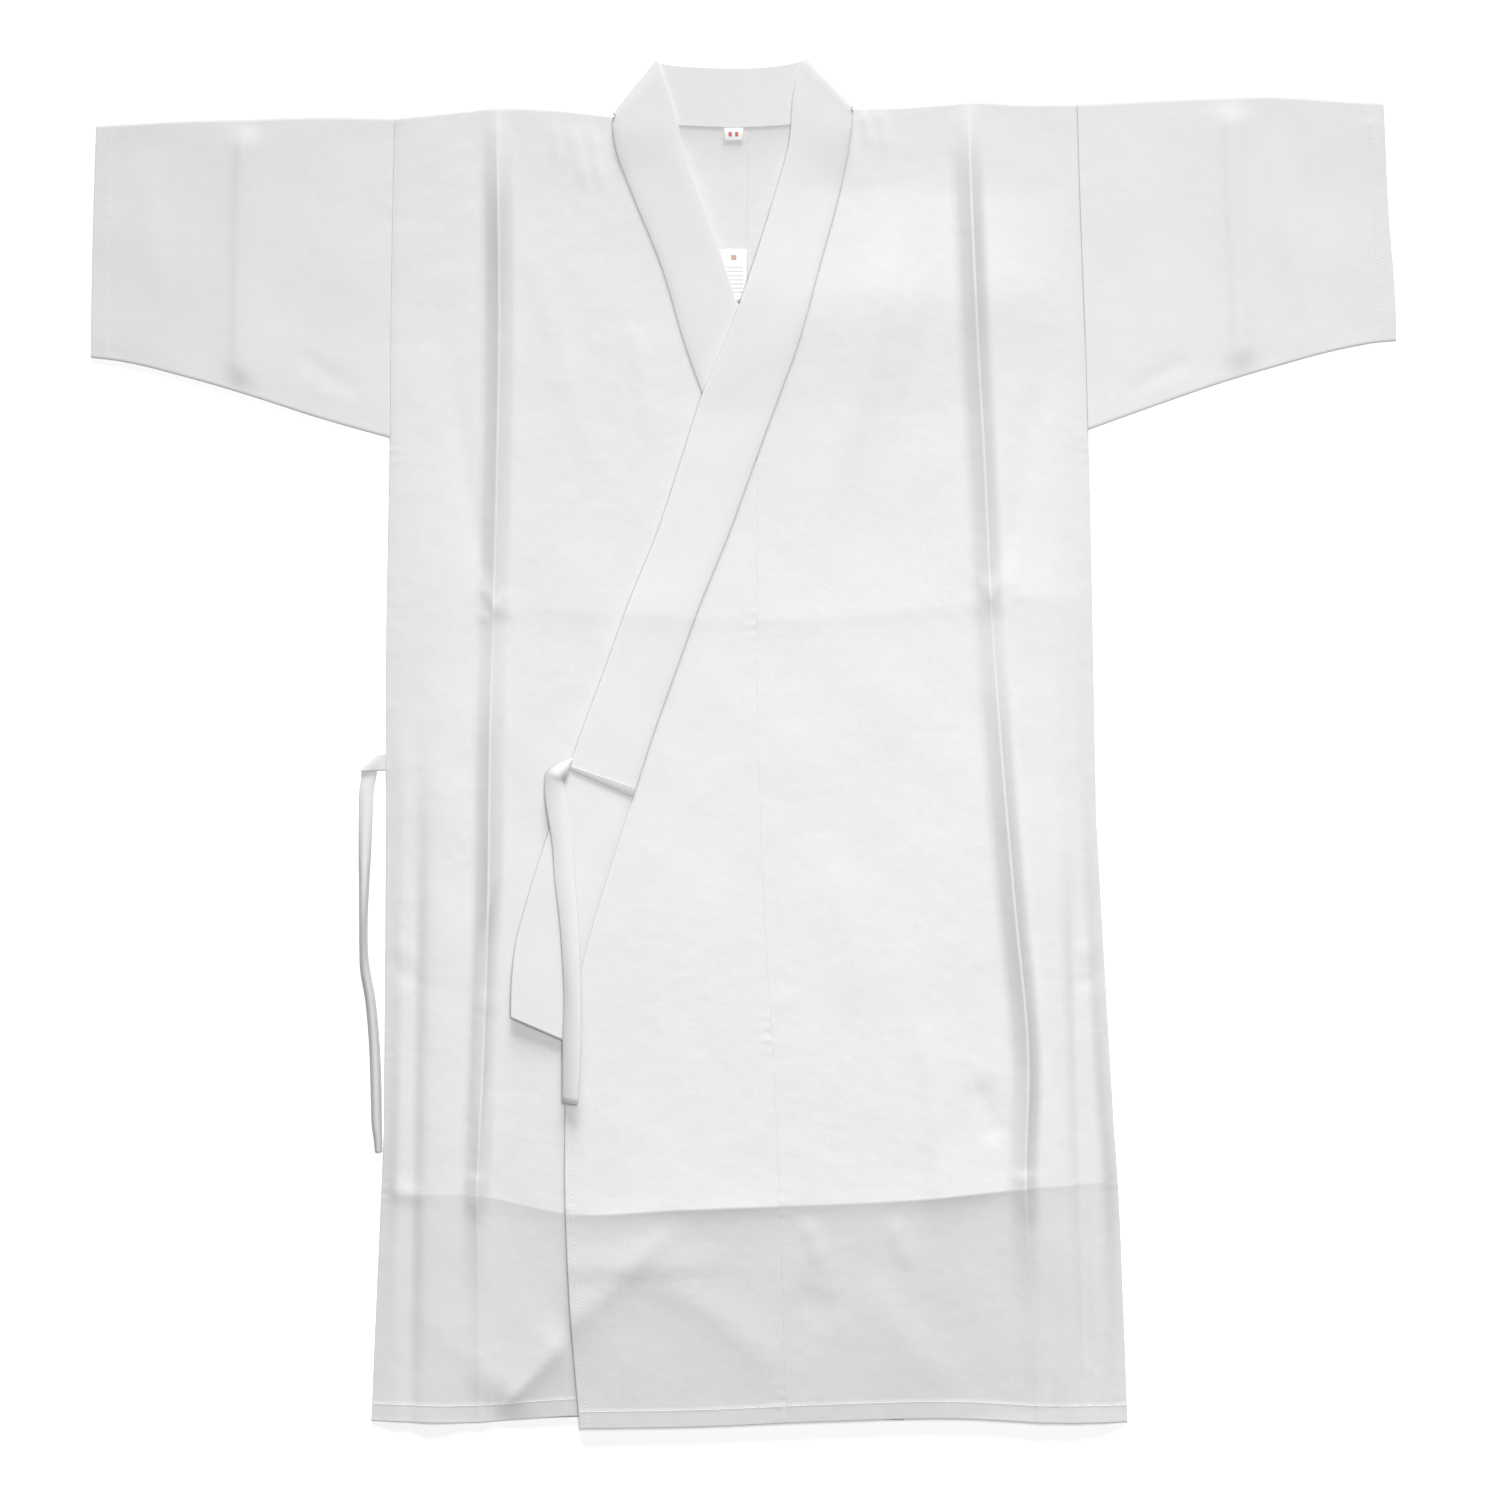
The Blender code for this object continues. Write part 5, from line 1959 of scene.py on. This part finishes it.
        # Painted shade: the colour is scaled down by the piece's painted-shade share.
        painted_shade_share = tree.node("ShaderNodeAttribute", attribute_name=PAINTED_SHADE_ATTRIBUTE).outputs["Fac"]
        shade = tree.math("MULTIPLY_ADD", painted_shade_share, finish.painted_shade_tone - 1, 1.0)
        values = {0: mottle.outputs["Color"], "Scale": shade}
        toned = tree.node("ShaderNodeVectorMath", values, operation="SCALE")
        tree.tree.links.new(toned.outputs[0], shader.inputs["Base Color"])
        soft = tree.node("ShaderNodeBump", {"Height": crumple.outputs["Height"], "Distance": finish.crumple,
                                            "Strength": 1.0})
        fine = tree.node("ShaderNodeBump", {"Height": weave.outputs["Height"], "Distance": finish.weave,
                                            "Strength": 0.6, "Normal": soft.outputs[0]})
        tree.tree.links.new(fine.outputs[0], shader.inputs["Normal"])
        rough = tree.ranged(
            weave.outputs["Thread"], 0.0, 1.0, finish.roughness - 0.06, finish.roughness + 0.04
        )
        tree.tree.links.new(rough, shader.inputs["Roughness"])
        shader.inputs["Sheen Weight"].default_value = finish.sheen
        shader.inputs["Specular IOR Level"].default_value = 0.25
        return material

    def tape(self, finish: TapeFinish) -> bpy.types.Material:
        """Make a label's tape with its bare marks and, where asked, plain ruled lines.

        Args:
            finish: Its look.

        Returns:
            The material.
        """
        material, tree, shader, flat = self.start(finish.name)
        colour = (*finish.base, 1)
        for left, bottom, width, height in finish.marks:
            patch = tree.group(self.patch, Vector=flat, Left=left, Bottom=bottom, Width=width, Height=height)
            colour = tree.mix(patch.outputs[0], colour, (*finish.mark, 1))
        if finish.lines:
            down = tree.node("ShaderNodeSeparateXYZ", {0: flat}).outputs[1]
            wave = tree.math("SINE", tree.math("MULTIPLY", down, 2 * np.pi / finish.lines))
            ruled = tree.math("GREATER_THAN", wave, 0.45)
            left, width, height = finish.lines_area
            area = tree.group(
                self.patch, Vector=flat, Left=left, Bottom=finish.lines_from, Width=width, Height=height
            )
            share = tree.math("MULTIPLY", tree.math("MULTIPLY", ruled, area.outputs[0]), 0.5)
            colour = tree.mix(share, colour, (*finish.line, 1))
        tree.tree.links.new(colour, shader.inputs["Base Color"])
        weave = tree.group(self.weave, Vector=flat, Pitch=finish.pitch)
        values = {"Height": weave.outputs["Height"], "Distance": 0.00003, "Strength": 0.5}
        bump = tree.node("ShaderNodeBump", values)
        tree.tree.links.new(bump.outputs[0], shader.inputs["Normal"])
        shader.inputs["Roughness"].default_value = finish.roughness
        return material


@dataclass(frozen=True)
class Studio:
    """Light, floor and camera. Lengths are in metres, angles in degrees."""

    ambient: float = 0.27
    low_power: float = 4.9
    low_angle: float = 24.0
    low_height: float = 13.0
    low_turn: float = -3.0
    high_power: float = 12.9
    high_place: tuple[float, float, float] = (0.15, 0.10, 1.5)
    high_size: float = 0.6
    floor_size: float = 9.0
    floor_tone: float = 0.95
    floor_glow: float = 0.30
    camera_place: tuple[float, float, float] = (0.005, -0.0054, 3.208)
    lens: float = 100.0

    def build(self) -> None:
        """Set the world's light, a low light beyond the neck, a lamp above, the floor and the camera."""
        world = bpy.data.worlds.new("studio")
        world.use_nodes = True
        background = world.node_tree.nodes["Background"]
        background.inputs["Color"].default_value = (1, 1, 1, 1)
        background.inputs["Strength"].default_value = self.ambient
        bpy.context.scene.world = world
        bpy.context.scene.view_settings.view_transform = "Standard"
        low = bpy.data.lights.new("low", "SUN")
        low.energy = self.low_power
        low.angle = float(np.radians(self.low_angle))
        sun = bpy.data.objects.new("low", low)
        sun.rotation_euler = tuple(np.radians((self.low_height - 90, 0.0, self.low_turn)).tolist())
        high = bpy.data.lights.new("high", "AREA")
        high.shape = "DISK"
        high.size = self.high_size
        high.energy = self.high_power
        lamp = bpy.data.objects.new("high", high)
        lamp.location = self.high_place
        lamp.visible_camera = False
        for light in (sun, lamp):
            bpy.context.scene.collection.objects.link(light)
        half = self.floor_size / 2
        corners = np.array([(-half, -half, 0), (half, -half, 0), (half, half, 0), (-half, half, 0)])
        floor = make_mesh("floor", corners, np.array([[0, 1, 2, 3]]), corners[:, :2])
        material, tree, shader, flat = Shading.start("floor")
        grain = tree.noise(flat, 300.0, 3.0)
        tone = tree.ranged(grain, 0.3, 0.7, self.floor_tone - 0.01, self.floor_tone)
        tree.tree.links.new(tone, shader.inputs["Base Color"])
        shader.inputs["Roughness"].default_value = 0.95
        shader.inputs["Specular IOR Level"].default_value = 0.0
        shader.inputs["Emission Color"].default_value = (1, 1, 1, 1)
        shader.inputs["Emission Strength"].default_value = self.floor_glow
        floor.data.materials.append(material)
        camera = bpy.data.cameras.new("camera")
        camera.lens = self.lens
        camera.sensor_width = 36.0
        eye = bpy.data.objects.new("camera", camera)
        eye.location = self.camera_place
        bpy.context.scene.collection.objects.link(eye)
        bpy.context.scene.camera = eye


@dataclass(frozen=True)
class Cut:
    """A piece's flat cut in metres: width, length and area, and what it lies on."""

    width: float
    length: float
    area: float
    held: str
    rests_on: tuple[str, ...]


CUTS = {
    "right_body": Cut(0.290, 2.04, 0.53, "folded", ()),
    "left_body": Cut(0.300, 2.04, 0.55, "folded", ()),
    "right_okumi": Cut(0.170, 0.75, 0.085, "laid", ("right_body", "left_body")),
    "left_okumi": Cut(0.170, 0.75, 0.087, "laid", ("right_body", "right_okumi")),
    "right_sleeve": Cut(0.50, 0.235, 0.105, "folded", ()),
    "left_sleeve": Cut(0.52, 0.246, 0.108, "folded", ()),
    "collar": Cut(0.052, 1.75, 0.085, "folded", ("right_body", "left_body")),
    "over_collar": Cut(0.053, 1.35, 0.068, "folded", ("collar",)),
    "front_tie": Cut(0.015, 0.285, 0.0042, "laid", ("collar", "left_okumi")),
    "side_tie": Cut(0.015, 0.33, 0.0040, "folded", ()),
    "size_label": Cut(0.0146, 0.0100, 0.000136, "laid", ("left_body", "right_body")),
    "care_label": Cut(0.0200, 0.0395, 0.00079, "laid", ("left_body", "right_body")),
}


def dress(
    panel: Panel, material: bpy.types.Material, stitches: Stitches | None, thread: bpy.types.Material
) -> None:
    """Make a panel's piece in place of its node, with its finish and its stitches.

    Args:
        panel: The panel, named as its node.
        material: Its finish.
        stitches: The stitches on it, if any.
        thread: Their finish.
    """
    piece = panel.build()
    piece.name = panel.name + "_cloth"
    piece.data.materials.append(material)
    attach(piece, "root")
    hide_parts(panel.name)
    if stitches is not None and stitches.starts:
        sewn = stitches.build()
        sewn.data.materials.append(thread)
        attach(sewn, "root")
    cut = CUTS[panel.name]
    [name + "_cloth" for name in cut.rests_on]
    LOG.info("%s: net %s", panel.name, panel.net.shape)


def main() -> None:
    """Dress every node, and set the studio."""
    logging.basicConfig(level=logging.INFO)
    shading = Shading()
    body, sleeves, strip, ties, thread = (
        shading.cotton(finish)
        for finish in (BODY_COTTON, SLEEVE_COTTON, COLLAR_COTTON, TIE_COTTON, THREAD_COTTON)
    )
    for half in (RIGHT, LEFT):
        for part in (Body(half), Overlap(half)):
            rows = Stitches(part.panel.name + "_stitches")
            part.stitch(rows)
            dress(part.panel, body, rows, thread)
    right = Sleeve("right_sleeve", RIGHT_SLEEVE, smooth_line(RIGHT_CUFF), beside(RIGHT.side, -0.1), True,
                   RIGHT_SLEEVE_FOLDS)
    left = Sleeve("left_sleeve", LEFT_SLEEVE, smooth_line(LEFT_CUFF), beside(LEFT.side, 0.1), False,
                  LEFT_SLEEVE_FOLDS)
    for sleeve in (right, left):
        rows = Stitches(sleeve.panel.name + "_stitches")
        sleeve.stitch(rows)
        dress(sleeve.panel, sleeves, rows, thread)
    collar = Collar()
    rows = Stitches("collar_stitches")
    collar.stitch(rows)
    dress(collar.collar, strip, rows, thread)
    dress(collar.over, strip, None, thread)
    dress(Tie.front(), ties, None, thread)
    dress(Tie.side(), ties, None, thread)
    dress(label_panel("size_label", SIZE_LABEL), shading.tape(SIZE_TAPE), None, thread)
    dress(label_panel("care_label", CARE_LABEL), shading.tape(CARE_TAPE), None, thread)
    Studio().build()


if __name__ == "__main__":
    main()
